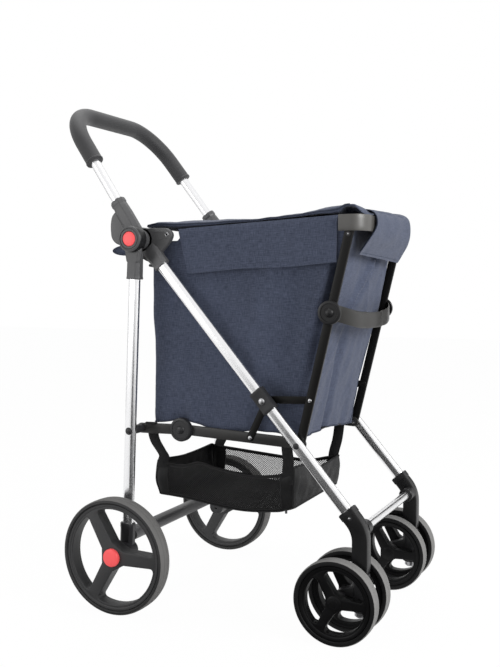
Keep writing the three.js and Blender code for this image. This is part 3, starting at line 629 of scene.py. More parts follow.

# Paler edges found by pointiness: partly rubbed wear, partly a painted highlight where an edge catches the
# light.
edge_wear_and_highlight, edge_wear_and_highlight_in, edge_wear_and_highlight_out = new_group("edge wear and painted highlight", [("Reach", 0.56)], ["Mask"])
edge_pointiness = edge_wear_and_highlight.nodes.new("ShaderNodeNewGeometry").outputs["Pointiness"]
edge_excess = math_node(edge_wear_and_highlight, "SUBTRACT", edge_pointiness, edge_wear_and_highlight_in.outputs["Reach"])
edge_soft = math_node(edge_wear_and_highlight, "MULTIPLY", edge_excess, 9.0, clamp=True)
edge_breakup = ramped(edge_wear_and_highlight, noise_node(edge_wear_and_highlight, own_coordinates(edge_wear_and_highlight), 90.0, 4.0, 0.7), 0.35, 0.62)
edge_wear_and_highlight_mask = math_node(edge_wear_and_highlight, "MULTIPLY", edge_soft, edge_breakup)
edge_wear_and_highlight.links.new(edge_wear_and_highlight_mask, edge_wear_and_highlight_out.inputs["Mask"])
print("groups", [g.name for g in bpy.data.node_groups])

# %% [markdown]
# Cloth needs threads that run along the panel, whichever way it faces. The group looks at which axis the
# surface faces and lays the threads along the other two, as a tailor lays a pattern on each panel.
# Melange yarn is light and dark by turns, so stretched noise gives short streaks both ways.

# %% Melange weave and net


def float_mix(tree, a, b, factor):
    node = tree.nodes.new("ShaderNodeMix")
    node.data_type = "FLOAT"
    connect(tree, a, node.inputs["A"])
    connect(tree, b, node.inputs["B"])
    connect(tree, factor, node.inputs["Factor"])
    return node.outputs["Result"]


def panel_axes(tree):
    """Two coordinates along the panel: across it, and up it (or along it on a flat top)."""
    place = tree.nodes.new("ShaderNodeSeparateXYZ")
    tree.links.new(own_coordinates(tree), place.inputs[0])
    facing = tree.nodes.new("ShaderNodeSeparateXYZ")
    tree.links.new(tree.nodes.new("ShaderNodeTexCoord").outputs["Normal"], facing.inputs[0])
    nx, ny, nz = (math_node(tree, "ABSOLUTE", facing.outputs[i]) for i in range(3))
    sideways = math_node(tree, "GREATER_THAN", nx, ny)
    flat = math_node(tree, "GREATER_THAN", nz, 0.75)
    x, y, z = place.outputs
    across_panel = float_mix(tree, float_mix(tree, x, y, sideways), x, flat)
    return across_panel, float_mix(tree, z, y, flat)


weave, weave_in, weave_out = new_group(
    "melange weave", [("Threads", 1400.0)], ["Height", "Heather", "Patches"]
)
across, along = panel_axes(weave)


def ridges(tree, coordinate, count):
    """Even round ridges, this many to the metre."""
    turns = math_node(tree, "MULTIPLY", coordinate, count)
    wave = math_node(tree, "SINE", math_node(tree, "MULTIPLY", turns, math.pi))
    return math_node(tree, "ABSOLUTE", wave)


def streaks(long_scale, short_scale, upright):
    a, b = (short_scale, long_scale) if upright else (long_scale, short_scale)
    x, y = math_node(weave, "MULTIPLY", across, a), math_node(weave, "MULTIPLY", along, b)
    return noise_node(weave, vector_of(weave, x, y, 0.0), 1.0, 3.0, 0.65)


threads_across, threads_along = (ridges(weave, way, weave_in.outputs["Threads"]) for way in (across, along))
weave.links.new(math_node(weave, "MAXIMUM", threads_across, threads_along), weave_out.inputs["Height"])
level = math_node(weave, "ADD", streaks(60.0, 620.0, False), streaks(75.0, 700.0, True))
weave.links.new(ramped(weave, level, 0.78, 1.22), weave_out.inputs["Heather"])
weave_patches = noise_node(weave, own_coordinates(weave), 7.0, 3.0)
weave.links.new(ramped(weave, weave_patches, 0.3, 0.7), weave_out.inputs["Patches"])

net, net_in, net_out = new_group("net", [("Pitch", 330.0), ("Thread", 0.42)], ["Solid", "Height"])
net_across, net_along = panel_axes(net)
net_u, net_v = (math_node(net, way, net_across, net_along) for way in ("ADD", "SUBTRACT"))
net_pitch = net_in.outputs["Pitch"]
net_wave = math_node(net, "MULTIPLY", ridges(net, net_u, net_pitch), ridges(net, net_v, net_pitch))
net.links.new(math_node(net, "LESS_THAN", net_wave, net_in.outputs["Thread"]), net_out.inputs["Solid"])
net.links.new(math_node(net, "SUBTRACT", 1.0, net_wave), net_out.inputs["Height"])
print("groups", [g.name for g in bpy.data.node_groups])

# %% [markdown]
# ## Finishes
# Each finish is one Principled shader. Its steady values are set on the shader itself, and only what
# changes over the surface comes through a link: two tones mixed by a mask, roughness that drifts a
# little, and a bump from the grain.

# %% Ways to build a finish


def principled(name, color, roughness, shine=0.5, **values):
    """A finish with its steady values; shine is how much plain light a non-metal mirrors."""
    finish = bpy.data.materials.new(name)
    finish.use_nodes = True
    shader = finish.node_tree.nodes["Principled BSDF"]
    shader.inputs["Base Color"].default_value = (*color, 1)
    shader.inputs["Roughness"].default_value = roughness
    shader.inputs["Specular IOR Level"].default_value = shine
    for label, value in values.items():
        shader.inputs[label.replace("_", " ")].default_value = value
    return finish, finish.node_tree, shader


def placed_group(tree, group, **values):
    node = tree.nodes.new("ShaderNodeGroup")
    node.node_tree = group
    for label, value in values.items():
        node.inputs[label].default_value = value
    return node.outputs


def two_tones(tree, mask, first, second, shader):
    mix = tree.nodes.new("ShaderNodeMix")
    mix.data_type = "RGBA"
    connect(tree, mask, mix.inputs["Factor"])
    mix.inputs["A"].default_value = (*first, 1)
    mix.inputs["B"].default_value = (*second, 1)
    tree.links.new(mix.outputs["Result"], shader.inputs["Base Color"])
    return mix


def bump(tree, height, strength, distance, shader):
    node = tree.nodes.new("ShaderNodeBump")
    node.inputs["Strength"].default_value = strength
    node.inputs["Distance"].default_value = distance
    tree.links.new(height, node.inputs["Height"])
    tree.links.new(node.outputs[0], shader.inputs["Normal"])


def drifting(tree, mask, roughness, drift, shader):
    """Roughness that wanders a little either side of its value."""
    wander = ramped(tree, mask, 0.0, 1.0, roughness - drift, roughness + drift)
    tree.links.new(wander, shader.inputs["Roughness"])


def metal(name, color, dull, roughness, drift):
    """Bright metal: a hair of colour and gloss drift, as a drawn and anodised tube has."""
    finish, tree, shader = principled(name, color, roughness, Metallic=1.0)
    marks = placed_group(tree, grain)
    two_tones(tree, marks["Patches"], color, dull, shader)
    drifting(tree, marks["Patches"], roughness, drift, shader)
    return finish


def moulded(name, color, worn_and_highlight, roughness, grain_scale=1100.0, grain_depth=0.00012, **values):
    """Moulded plastic, paint or rubber: fine grain, with paler edges that are partly rubbed wear and partly a
    painted highlight.
    """
    finish, tree, shader = principled(name, color, roughness, **values)
    marks = placed_group(tree, grain, Scale=grain_scale)
    edges = placed_group(tree, edge_wear_and_highlight)
    lifted = tuple(c * 1.18 + 0.001 for c in color)
    base = two_tones(tree, marks["Patches"], color, lifted, shader)
    worn_and_highlight_mix = two_tones(tree, edges["Mask"], color, worn_and_highlight, shader)
    tree.links.new(base.outputs["Result"], worn_and_highlight_mix.inputs["A"])
    drifting(tree, marks["Patches"], roughness, 0.05, shader)
    bump(tree, marks["Height"], 0.25, grain_depth, shader)
    return finish

# %% Finishes in metal, paint and plastic
aluminium = metal("satin aluminium", (0.88, 0.88, 0.89), (0.84, 0.84, 0.85), 0.22, 0.03)
rivet_steel = metal("rivet steel", (0.5, 0.5, 0.51), (0.38, 0.38, 0.39), 0.34, 0.06)
black_plastic = moulded("black plastic", (0.015, 0.015, 0.0165), (0.055, 0.055, 0.06), 0.42, shine=0.36)
hub_plastic = moulded("hub plastic", (0.05, 0.05, 0.052), (0.12, 0.12, 0.125), 0.44, shine=0.5)
fork_plastic = moulded("fork plastic", (0.007, 0.007, 0.0075), (0.045, 0.045, 0.048), 0.36, shine=0.3)
# The paints' pale edge colour is mostly a painted highlight: the thin bright line along each bar's edge.
dark_paint = moulded(
    "satin black paint", (0.005, 0.0048, 0.0045), (0.14, 0.134, 0.125), 0.34, 600.0, 0.00003, shine=0.15
)
stay_paint = moulded(
    "satin grey paint", (0.021, 0.0205, 0.02), (0.15, 0.145, 0.14), 0.34, 600.0, 0.00003, shine=0.3
)
# The two bands share one plastic. The mid band's copy is darkened as painted shade and the top band's copy
# lightened as a painted highlight.
mid_band_plastic_shaded = moulded(
    "band plastic", (0.0085, 0.008, 0.007), (0.045, 0.042, 0.04), 0.3, 500.0, 0.00003, shine=0.33
)
top_band_plastic_lit = moulded(
    "top band plastic lightened as painted highlight", (0.055, 0.053, 0.05), (0.09, 0.088, 0.085), 0.36, 500.0, 0.00003, shine=0.55
)
wheel_plastic = moulded("wheel plastic", (0.03, 0.03, 0.031), (0.09, 0.09, 0.092), 0.5, shine=0.35)
# The front wheels' plastic is a darker copy of the rear wheel's: painted shade on the front wheels.
front_wheel_plastic_shaded = moulded(
    "front wheel plastic darkened as painted shade", (0.003, 0.003, 0.0033), (0.02, 0.02, 0.021), 0.4, shine=0.14
)
tyre_side = moulded(
    "tyre side wall", (0.022, 0.022, 0.0225), (0.05, 0.05, 0.05), 0.6, 800.0, 0.00012, shine=0.3
)
# A darker copy of the tyre's side wall: painted shade on the front wheels.
front_tyre_side_shaded = moulded(
    "front tyre side wall darkened as painted shade", (0.006, 0.006, 0.0064), (0.03, 0.03, 0.03), 0.58, 800.0, 0.00012, shine=0.16
)
tyre_tread = moulded("tyre tread", (0.105, 0.103, 0.101), (0.15, 0.15, 0.15), 0.72, 500.0, 0.0003, shine=0.25)
# The front tread is a lighter copy of the tyre tread: painted light where the key lamp falls on it.
front_tread_lit = moulded(
    "front tyre tread lightened as painted light", (0.16, 0.158, 0.155), (0.2, 0.2, 0.2), 0.72, 500.0, 0.0003, shine=0.25
)
foam = moulded(
    "grip foam", (0.026, 0.026, 0.0275), (0.04, 0.04, 0.042), 0.6, 1500.0, 0.0004, Sheen_Weight=0.15,
    shine=0.3
)
coral_plastic = moulded("coral plastic", (0.86, 0.085, 0.09), (0.9, 0.2, 0.2), 0.4, 900.0, 0.00005)
print("finishes", len(bpy.data.materials))

# %% Finishes in cloth


def cloth(name, dark, light, roughness, threads, bump_depth, **values):
    """Woven cloth: two yarn tones by the melange mask, larger faded patches and raised threads."""
    finish, tree, shader = principled(name, dark, roughness, **values)
    marks = placed_group(tree, weave, Threads=threads)
    yarn = two_tones(tree, marks["Heather"], dark, light, shader)
    faded = two_tones(tree, math_node(tree, "MULTIPLY", marks["Patches"], 0.25), dark, light, shader)
    tree.links.new(yarn.outputs["Result"], faded.inputs["A"])
    bump(tree, marks["Height"], 0.35, bump_depth, shader)
    shader.inputs["Sheen Roughness"].default_value = 0.5
    return finish


navy = cloth(
    "navy melange", (0.027, 0.0335, 0.056), (0.07, 0.083, 0.127), 0.9, 1300.0, 0.0003, Sheen_Weight=0.1,
    shine=0.25
)
navy_trim = cloth(
    "navy seam tape", (0.02, 0.024, 0.038), (0.046, 0.054, 0.082), 0.88, 900.0, 0.0004, shine=0.25
)
nylon = cloth(
    "black nylon", (0.003, 0.003, 0.0034), (0.0065, 0.0065, 0.007), 0.55, 1600.0, 0.0002, shine=0.28
)
webbing = cloth(
    "black webbing", (0.0055, 0.0055, 0.006), (0.013, 0.013, 0.0135), 0.7, 700.0, 0.0005, shine=0.22
)
net_cloth, net_tree, net_shader = principled("nylon net", (0.012, 0.012, 0.0125), 0.6, shine=0.2)
net_marks = placed_group(net_tree, net, Pitch=210.0, Thread=0.46)
net_tree.links.new(net_marks["Solid"], net_shader.inputs["Alpha"])
bump(net_tree, net_marks["Height"], 0.3, 0.0003, net_shader)
print("finishes", len(bpy.data.materials))

# %% [markdown]
# ## Legs
# The legs are drawn tubes with flat sides and round edges, 16 by 25 mm. A section swept straight along
# the leg keeps the flats true, and the ends stay inside their plastic sockets.

# %% Legs
leg_section = oval_section(16 * MM, 25 * MM)
leg_bore = oval_section(13 * MM, 22 * MM)


def leg_tube(name, x, start, end):
    """An oval tube with an open bore at both ends."""
    rings = [(leg_section, 0.0), (leg_section, 1.0), (leg_bore, 1.0), (leg_bore, 0.0)]
    forward = (at(x, end) - at(x, start)).normalized()
    up = forward.cross(Vector((1, 0, 0))).normalized()
    side = up.cross(forward)
    vertices = [
        at(x, start).lerp(at(x, end), t) + side * u + up * v for ring, t in rings for u, v in ring
    ]
    return build(name, vertices, grid_faces(len(rings), len(leg_section), True), aluminium)


both_sides(
    leg_tube("rear leg", rear_leg_x, hub + rear_leg_down * 35.3 * MM, hub + rear_leg_down * 629 * MM),
    "visual_rear_leg", "rear_frame", "aluminium", "rear_leg_{side}",
)
front_leg = joined(
    "front leg",
    [
        leg_tube("tube", front_leg_x, hub + leg_down * 33 * MM, hub + leg_down * 729 * MM),
        pin("post pin", 4 * MM, post_pivot, 150 * MM, 168.4 * MM, rivet_steel),
        pin("post pin head", 7 * MM, post_pivot, 152.2 * MM, 150.4 * MM, black_plastic, edge=-0.4 * MM),
        pin("pivot rivet", 6.2 * MM, post_pivot, 183 * MM, 185.2 * MM, black_plastic, dome=1.2 * MM),
    ],
)
both_sides(front_leg, "visual_front_leg", "front_frame", "aluminium", "front_leg_{side}")
print("legs cross at", hub[:])

# %% [markdown]
# ## Hub
# The hub is where everything meets: a round housing with a coral button, a socket that holds the rear
# leg, and inside them the handle's knuckle and the front leg's bracket on one bolt. Real ones are
# moulded in one piece with soft inner corners, so each is fused from simple shells.

# %% Hub housing and button
ring_section = in_mm(
    (0, 205.3), (26.9, 205.3), (27.3, 206), (27.3, 225), (26.4, 227.8), (24.6, 229.4), (22.4, 230),
    (21.7, 229.7), (21.3, 228.7), (20.5, 228.7), (20.1, 229.5), (19.4, 229.9), (16.6, 229.9),
    (15.6, 229.5), (15.3, 228.6), (15.3, 209.3), (0, 209.3),
)
housing_ring = turned("ring", ring_section, hub, hub_plastic, 96, closed=False)
# The ring's round outer wall takes the darker fork plastic as painted shade; the faces that look sideways
# keep the hub plastic.
housing_ring.data.materials.append(fork_plastic)
for face in housing_ring.data.polygons:
    face.material_index = 0 if abs(face.normal.x) > 0.4 else 1
across_x = Vector((1, 0, 0))


def along_leg(x, way, start, end, scales):
    """Stations down a leg, between two distances from the hub."""
    return straight(at(x, hub + way * start), at(x, hub + way * end), across_x, scales)


housing_socket = swept(
    "socket", rounded_section(26.8 * MM, 30.8 * MM, 6.5 * MM, 1),
    along_leg(
        rear_leg_x + 0.5 * MM, rear_leg_down, 26 * MM, 82 * MM,
        ((0, 1, 0.96), (0.9, 1, 1), (0.94, 1.04, 1.04), (1, 1.04, 1.04)),
    ),
    hub_plastic,
)
housing_neck = swept(
    "neck", rounded_section(14 * MM, 44 * MM, 5 * MM, 1),
    straight(
        at(212 * MM, hub), at(210 * MM, hub + rear_leg_down * 46 * MM), across_x,
        ((0, 1, 1), (0.5, 1, 0.9), (1, 1, 0.72)),
    ),
    hub_plastic,
)
housing_body = fused("housing body", [housing_socket, housing_neck], hub_plastic, 0.8 * MM, 5, 0.3)
housing = joined("hub housing", [housing_ring, housing_body])
both_sides(housing, "visual_hub_housing", "rear_frame", "black_plastic", "hub_housing_{side}")

button_section = in_mm(
    (0, 231.2), (7, 231.1), (12.2, 230.7), (14.2, 230), (15, 228.6), (15, 213.6), (0, 213.6)
)
button = turned("button", button_section, hub, coral_plastic, 64, closed=False)
both_sides(button, "visual_hub_button", "hub_button_{side}", "red_plastic", "hub_button_{side}")
fold_bolt = joined(
    "fold bolt",
    [
        pin("bolt", 5 * MM, hub, 167 * MM, 205 * MM, rivet_steel),
        pin("bolt head", 9 * MM, hub, 168.7 * MM, 165.7 * MM, rivet_steel, edge=-0.6 * MM, dome=-0.8 * MM),
    ],
)
both_sides(fold_bolt, "visual_fold_bolt", "rear_frame", "steel", "fold_bolt_{side}")
print("hub ring ends at", high("hub_housing_left").x)

# %% [markdown]
# ## Handle
# The handle is a U of round tube in a foam sleeve. Its line leans in a little from the hubs, turns two
# wide corners and crosses behind the bag at waist height. The same stations carry the tube, the foam
# and the two lips where the foam ends.

# %% Handle tube and foam
handle_angle = math.radians(53.8)
handle_up = Vector((0, math.cos(handle_angle), math.sin(handle_angle)))
handle_lift = Vector((0, -math.sin(handle_angle), math.cos(handle_angle)))
handle_foot = at(0, hub) + handle_lift * 8 * MM
handle_taper = 0.0915
handle_length = 343.6 * MM
corner_radius = 101.5 * MM
taper_angle = math.atan(handle_taper)
corner_along = handle_length - corner_radius


def handle_side_x(s):
    return 205 * MM - handle_taper * s


def on_handle(s, sign=1):
    """The middle of the tube, s up from the handle's foot."""
    return Vector((handle_side_x(s) * sign, 0, 0)) + handle_foot + handle_up * s


corner_x = handle_side_x(corner_along) - corner_radius / math.cos(taper_angle)


def handle_stations(start):
    """Points round the U from the left side to the right, with the outward and upward directions."""
    sides = [start + (corner_along - start) * t for t in np.linspace(0, 1, 9)[:-1]]
    left = [(handle_side_x(s), s, taper_angle) for s in sides]
    for angle in np.linspace(taper_angle, math.pi / 2, 25):
        x = corner_x + corner_radius * math.cos(angle)
        left.append((x, corner_along + corner_radius * math.sin(angle), angle))
    stations = []
    for x, s, angle in left + [(-x, s, math.pi - angle) for x, s, angle in left[::-1]]:
        outward = Vector((math.cos(angle), 0, 0)) + handle_up * math.sin(angle)
        stations.append((Vector((x, 0, 0)) + handle_foot + handle_up * s, outward, handle_lift, 1, 1))
    return stations


handle_tube = swept("visual_handle_tube", circle_section(10.5 * MM), handle_stations(46 * MM), aluminium)
place(handle_tube, "handle", ["handle_tube"], "aluminium")
foam_section = circle_section(18.2 * MM, 40)
grip = swept("foam", foam_section, handle_stations(200 * MM), foam)
lip_scales = ((0, 0.62), (0.02, 0.9), (0.2, 1.03), (0.6, 1.06), (0.9, 1.02), (1, 0.97))
lips = []
for sign in (1, -1):
    lip_ends = on_handle(198 * MM, sign), on_handle(204 * MM, sign)
    lip_stations = straight(*lip_ends, across_x, [(t, share, share) for t, share in lip_scales])
    lips.append(swept("lip", foam_section, lip_stations, foam))
grip = joined("visual_handle_grip", [grip, *lips])
place(grip, "handle", ["handle_grip"], "grip_foam")
print("grip top", round(max(v.co.z for v in grip.data.vertices), 4))

# %% [markdown]
# The knuckle is a faceted socket with a rounded lip where the tube comes out, a thick D-shaped rib
# behind it, and a disc that turns on the bolt inside the housing's ring.

# %% Handle knuckle
knuckle_section = rounded_section(26.5 * MM, 33 * MM, 8 * MM, 1)
knuckle_socket = swept(
    "socket", knuckle_section,
    straight(
        on_handle(6 * MM), on_handle(93 * MM), across_x,
        ((0, 1, 1), (0.55, 1, 1), (0.8, 0.97, 0.94), (0.86, 0.94, 0.9), (0.9, 1.02, 0.98), (1, 1.0, 0.96)),
    ),
    hub_plastic,
)
rib_corners = [
    (0, -18), (28, -15), (52, -8), (62, 4), (64, 28), (61, 48), (50, 60), (34, 52), (14, 30), (-6, 2)
]
rib_outline = rounded_profile([hub + Vector(c) * MM for c in rib_corners], 9 * MM, 5)
knuckle_rib = plate("rib", rib_outline, 189 * MM, 202.5 * MM, hub_plastic, 2.5 * MM)
knuckle_disc = turned(
    "disc", in_mm((0, 181), (19, 181), (20.5, 182.5), (20.5, 203.6), (19.5, 205), (0, 205)),
    hub, hub_plastic, 64, closed=False,
)
knuckle = fused("knuckle", [knuckle_socket, knuckle_rib, knuckle_disc], hub_plastic, 0.8 * MM, 5, 0.3)
both_sides(knuckle, "visual_handle_knuckle", "handle", "black_plastic", "handle_knuckle_{side}")
print("handle knuckle turns about", hub[:])

# %% [markdown]
# The front leg's bracket is a flat arm on the inside of the hub. It carries the leg's socket, and at its
# tip a steel-lined eye where the bag's webbing is riveted.

# %% Leg bracket
eye = Vector((94, 780)) * MM
arm_corners = [
    (168, 794.5), (93, 793.5), (81, 781), (88, 765), (114, 739), (128, 722), (150, 728), (172, 752)
]
arm_outline = rounded_profile([Vector(c) * MM for c in arm_corners], 11 * MM, 6)
eye_hole = arc(eye, 4.7 * MM, 0, 345, 22)
bracket_arm = plate("arm", arm_outline, 169 * MM, 180.5 * MM, hub_plastic, 1.4 * MM, [eye_hole])
bracket_disc = turned(
    "disc", in_mm((5.3, 169), (24, 169), (25.5, 170.5), (25.5, 179), (24, 180.5), (5.3, 180.5)),
    hub, hub_plastic, 64,
)
bracket_socket = swept(
    "socket", rounded_section(21.8 * MM, 30.8 * MM, 6 * MM, 1),
    along_leg(
        front_leg_x, leg_down, 22 * MM, 72 * MM,
        ((0, 0.5, 1.3), (0.3, 0.85, 1.22), (0.7, 1.02, 1.08), (1, 1.06, 1.06)),
    ),
    hub_plastic,
)
eye_ring = turned(
    "eye ring",
    in_mm((4.5, 168.6), (7.6, 168.6), (8, 169.4), (8, 180.2), (7.4, 181.4), (5.2, 181.6), (4.5, 180.8)),
    eye, hub_plastic, 32,
)
eye_rivet = turned(
    "eye rivet", in_mm((2.4, 176), (4.6, 176), (4.6, 181.2), (3.6, 182.2), (2.4, 181.4)),
    eye, rivet_steel, 24,
)
bracket = joined("bracket", [bracket_arm, bracket_disc, bracket_socket, eye_ring, eye_rivet])
both_sides(bracket, "visual_leg_bracket", "front_frame", "black_plastic", "leg_bracket_{side}")
print("eye at", eye[:])

# %% [markdown]
# ## Bars between the legs
# The flat stays, the struts and the posts are strip steel in satin black with round ends, riveted where
# they cross. Rounded edges matter more here than anywhere: they carry the thin bright line that shows
# how thick the bar is, and the paler edge colour of the paint adds a painted highlight along it.

# %% Stays with their folding disc
rear_stay_layer = (157.6 * MM, 162.4 * MM)
disc_profile = in_mm(
    (0, 155.6), (23.6, 155.6), (24.8, 156.8), (24.8, 165.0), (24, 166.8), (22, 167.6), (19.4, 167.6),
    (18.6, 166.2), (9.2, 166.2), (8.2, 167.0), (7.2, 169.6), (4.6, 171.0), (0, 171.4),
)
rear_stay = joined(
    "rear stay",
    [
        plate("bar", bar_outline(stay_pivot, fold_joint, 10.8 * MM), *rear_stay_layer, stay_paint, 1.2 * MM),
        turned("disc", disc_profile, fold_joint, black_plastic, 72, closed=False),
    ],
)
both_sides(rear_stay, "visual_rear_stay", "rear_stay", "dark_paint", "rear_stay_{side}")
front_stay_outline = bar_outline(fold_joint, post_pivot, 10.8 * MM)
front_stay = plate("front stay", front_stay_outline, *span("front_stay_left"), stay_paint, 1.2 * MM)
both_sides(front_stay, "visual_front_stay", "front_stay", "dark_paint", "front_stay_{side}")
stay_boss = joined(
    "stay bolt",
    [
        pin("boss", 9.2 * MM, stay_pivot, 162.9 * MM, 194.6 * MM, black_plastic, edge=1 * MM),
        pin("shank", 4 * MM, stay_pivot, 153.1 * MM, 164 * MM, rivet_steel),
        pin("outer nub", 6.4 * MM, stay_pivot, 209 * MM, 213.2 * MM, black_plastic, dome=1.6 * MM),
        pin("outer washer", 8 * MM, stay_pivot, 209 * MM, 211.2 * MM, black_plastic),
    ],
)
both_sides(stay_boss, "visual_stay_bolt", "rear_frame", "black_plastic", "stay_bolt_{side}")
print("stays fold at", fold_joint[:])

# %% Slider, strut and link
slider_half = 25 * MM
slider_scales = (
    (0, 1), (0.04, 1.03), (0.12, 1.03), (0.16, 1), (0.84, 1), (0.88, 1.03), (0.96, 1.03), (1, 1)
)
slider_ends = [at(front_leg_x, slider_pin + leg_down * way * slider_half) for way in (-1, 1)]
slider = joined(
    "slider",
    [
        swept(
            "sleeve", rounded_section(21.6 * MM, 30.6 * MM, 6 * MM, 2),
            straight(*slider_ends, across_x, [(t, s, s) for t, s in slider_scales]),
            black_plastic,
        ),
        pin("slider shank", 4 * MM, slider_pin, 153.3 * MM, 166 * MM, rivet_steel),
        pin("rivet seat", 8.4 * MM, slider_pin, 186 * MM, 187.6 * MM, black_plastic),
        pin("slider rivet", 6.4 * MM, slider_pin, 186 * MM, 188.4 * MM, rivet_steel, dome=1.6 * MM),
    ],
)
both_sides(slider, "visual_slider", "slider", "black_plastic", "slider_{side}")
strut = joined(
    "strut",
    [
        plate(
            "bar", bar_outline(slider_pin, strut_pin, small_bar_half), 157.6 * MM, 160.6 * MM, dark_paint,
            0.8 * MM,
        ),
        pin("strut rivet", 4.4 * MM, strut_pin, 160 * MM, 161.4 * MM, rivet_steel, dome=1.1 * MM),
    ],
)
both_sides(strut, "visual_strut", "strut", "dark_paint", "strut_{side}")
link_outline = bar_outline(slider_pin, link_pin, small_bar_half)
link = plate("link", link_outline, *span("link_left"), dark_paint, 0.8 * MM)
both_sides(link, "visual_link", "link", "dark_paint", "link_{side}")
print("slider pin", slider_pin[:])

# %% Posts
post_half = 9 * MM
top_rivet_point = post_top - post_up * 35 * MM
post_outline = bar_outline(post_pivot, post_top - post_up * 8 * MM, post_half, 20)
post = joined(
    "post",
    [
        plate("bar", post_outline, 157.6 * MM, 165.6 * MM, dark_paint, 2 * MM),
        pin("link rivet", 4.0 * MM, link_pin, 165.0 * MM, 166.4 * MM, rivet_steel, dome=1.0 * MM),
        pin("top seat", 4.6 * MM, top_rivet_point, 165.0 * MM, 166.0 * MM, black_plastic),
        pin("top rivet", 1.7 * MM, top_rivet_point, 165.0 * MM, 166.6 * MM, rivet_steel, dome=0.7 * MM),
    ],
)
both_sides(post, "visual_post", "post_frame", "dark_paint", "post_{side}")
print("post tops at", post_top[:])

# %% [markdown]
# ## Bands
# Two springy plastic bands bow forward from the posts. The upper one holds the rim of the bag open and
# the lower one keeps the bag from swinging. Seen from above each is a strip bent round two corners, so
# its outline is drawn in plan, given a height, and rounded along both edges.

# %% A band from its plan
band_inner_x = 165.9 * MM
band_thick = 3 * MM


def band_plan(reach, corner_wide, corner_deep, back, bow):
    """The strip's outline from above, as (x, y) about the post's middle line, outer face then inner."""
    centre_x = band_inner_x + band_thick - corner_wide

    def face(inset):
        """From the left end round to the right end, this far inside the outer face."""
        line = [(centre_x + corner_wide - inset, y) for y in np.linspace(back, corner_deep - reach, 4)[:-1]]
        for a in np.linspace(0, -math.pi / 2, 24):
            c, s = math.cos(a), math.sin(a)
            flat = math.hypot(c * corner_deep, s * corner_wide)
            out = Vector((c * corner_deep, s * corner_wide)) / flat
            x = centre_x + corner_wide * c - inset * out.x
            line.append((x, corner_deep - reach + corner_deep * s - inset * out.y))
        end_x, end_y = line[-1]
        line += [(end_x * (1 - 2 * t), end_y - 4 * bow * t * (1 - t)) for t in np.linspace(0, 0.5, 12)[1:]]
        return line + [(-x, y) for x, y in line[-2::-1]]

    return face(0.0), face(band_thick)


def band(name, plan, height, centre, drop, reach, material):
    """Extrudes the plan upwards with rounded long edges. The strip drops as it comes forward."""
    outer, inner = ([Vector(p) for p in line] for line in plan)
    low_half = [(-0.5, 0.3), (-0.47, 0.5), (-0.4, 0.9), (-0.2, 1.0)]
    rows = low_half + [(-t, full) for t, full in low_half[::-1]]
    vertices = []
    for t, full in rows:
        ring = [((a + b) / 2).lerp(a, full) for a, b in zip(outer, inner)]
        ring += [((a + b) / 2).lerp(b, full) for a, b in zip(outer, inner)][::-1]
        for x, y in ring:
            fall = drop * min(1.0, max(0.0, -y / reach)) ** 2.4
            vertices.append(Vector((x, centre[0] + y, centre[1] + t * height - fall)))
    n = 2 * len(outer)
    faces = grid_faces(len(rows), n)
    last = (len(rows) - 1) * n
    for k in range(len(outer) - 1):
        faces.append((k, k + 1, n - 2 - k, n - 1 - k))
        faces.append((last + k, last + k + 1, last + n - 2 - k, last + n - 1 - k))
    return build(name, vertices, faces, material, 40)

# %% The two bands
band_height = 31 * MM
top_band_point = post_pivot + post_up * 441 * MM
mid_band_point = post_pivot + post_up * 266 * MM
top_plan = band_plan(29 * MM, 46 * MM, 27 * MM, 24 * MM, 2.5 * MM)
# The top band's lighter plastic is a painted highlight.
top_band = band("visual_top_band", top_plan, band_height, top_band_point, 0.0, 29 * MM, top_band_plastic_lit)
place(top_band, "post_frame", ["top_band"], "dark_paint")
mid_plan = band_plan(36 * MM, 112 * MM, 33 * MM, 2 * MM, 3 * MM)
mid_strip = band("strip", mid_plan, 32 * MM, mid_band_point, 19 * MM, 36 * MM, mid_band_plastic_shaded)
mid_disc_profile = in_mm(
    (0, 165.9), (22.6, 165.9), (23.5, 166.8), (23.5, 169.8), (22.6, 171.3), (20.6, 171.9), (17.8, 171.9),
    (17, 170.6), (9.4, 170.6), (8.6, 172.4), (7.2, 174.4), (4.4, 175.8), (0, 176.2),
)
mid_disc = turned("disc", mid_disc_profile, mid_band_point, fork_plastic, 64, closed=False)
mid_disc_right = mirrored(mid_disc, "disc right")
mid_rivets = []
for height in (8, -8):
    rivet_point = mid_band_point + Vector((-12, height)) * MM
    mid_rivets.append(
        pin("band rivet", 3.2 * MM, rivet_point, 165.4 * MM, 164.0 * MM, rivet_steel, dome=-1.2 * MM)
    )
mid_rivets += [mirrored(rivet, "band rivet right") for rivet in mid_rivets[:2]]
mid_band = joined("visual_mid_band", [mid_strip, mid_disc, mid_disc_right, *mid_rivets])
place(mid_band, "post_frame", ["mid_band"], "dark_paint")
print("bands at", top_band_point[:], mid_band_point[:])

# %% [markdown]
# ## Front end
# The front leg drops into a black fork that bends from the leg's slope to upright over the swivel. The
# bend is a swept section, so its flat front face stays flat and catches the light. A square shoulder
# with a rivet marks where the leg goes in.

# %% Fork
fork_x = 174 * MM
fork_bend = 60 * MM
fork_depth = 32 * MM
fork_bottom_z = 132 * MM
lean = math.acos(-leg_down.y)
bend_start_y = swivel_y + fork_bend * (1 - math.cos(lean))
bend_start_s = (hub.x - bend_start_y) / -leg_down.x
bend_centre = Vector((swivel_y + fork_bend, (hub + leg_down * bend_start_s).y - fork_bend * math.sin(lean)))
bar_centre = Vector((swivel_y + 3 * MM, 213 * MM))


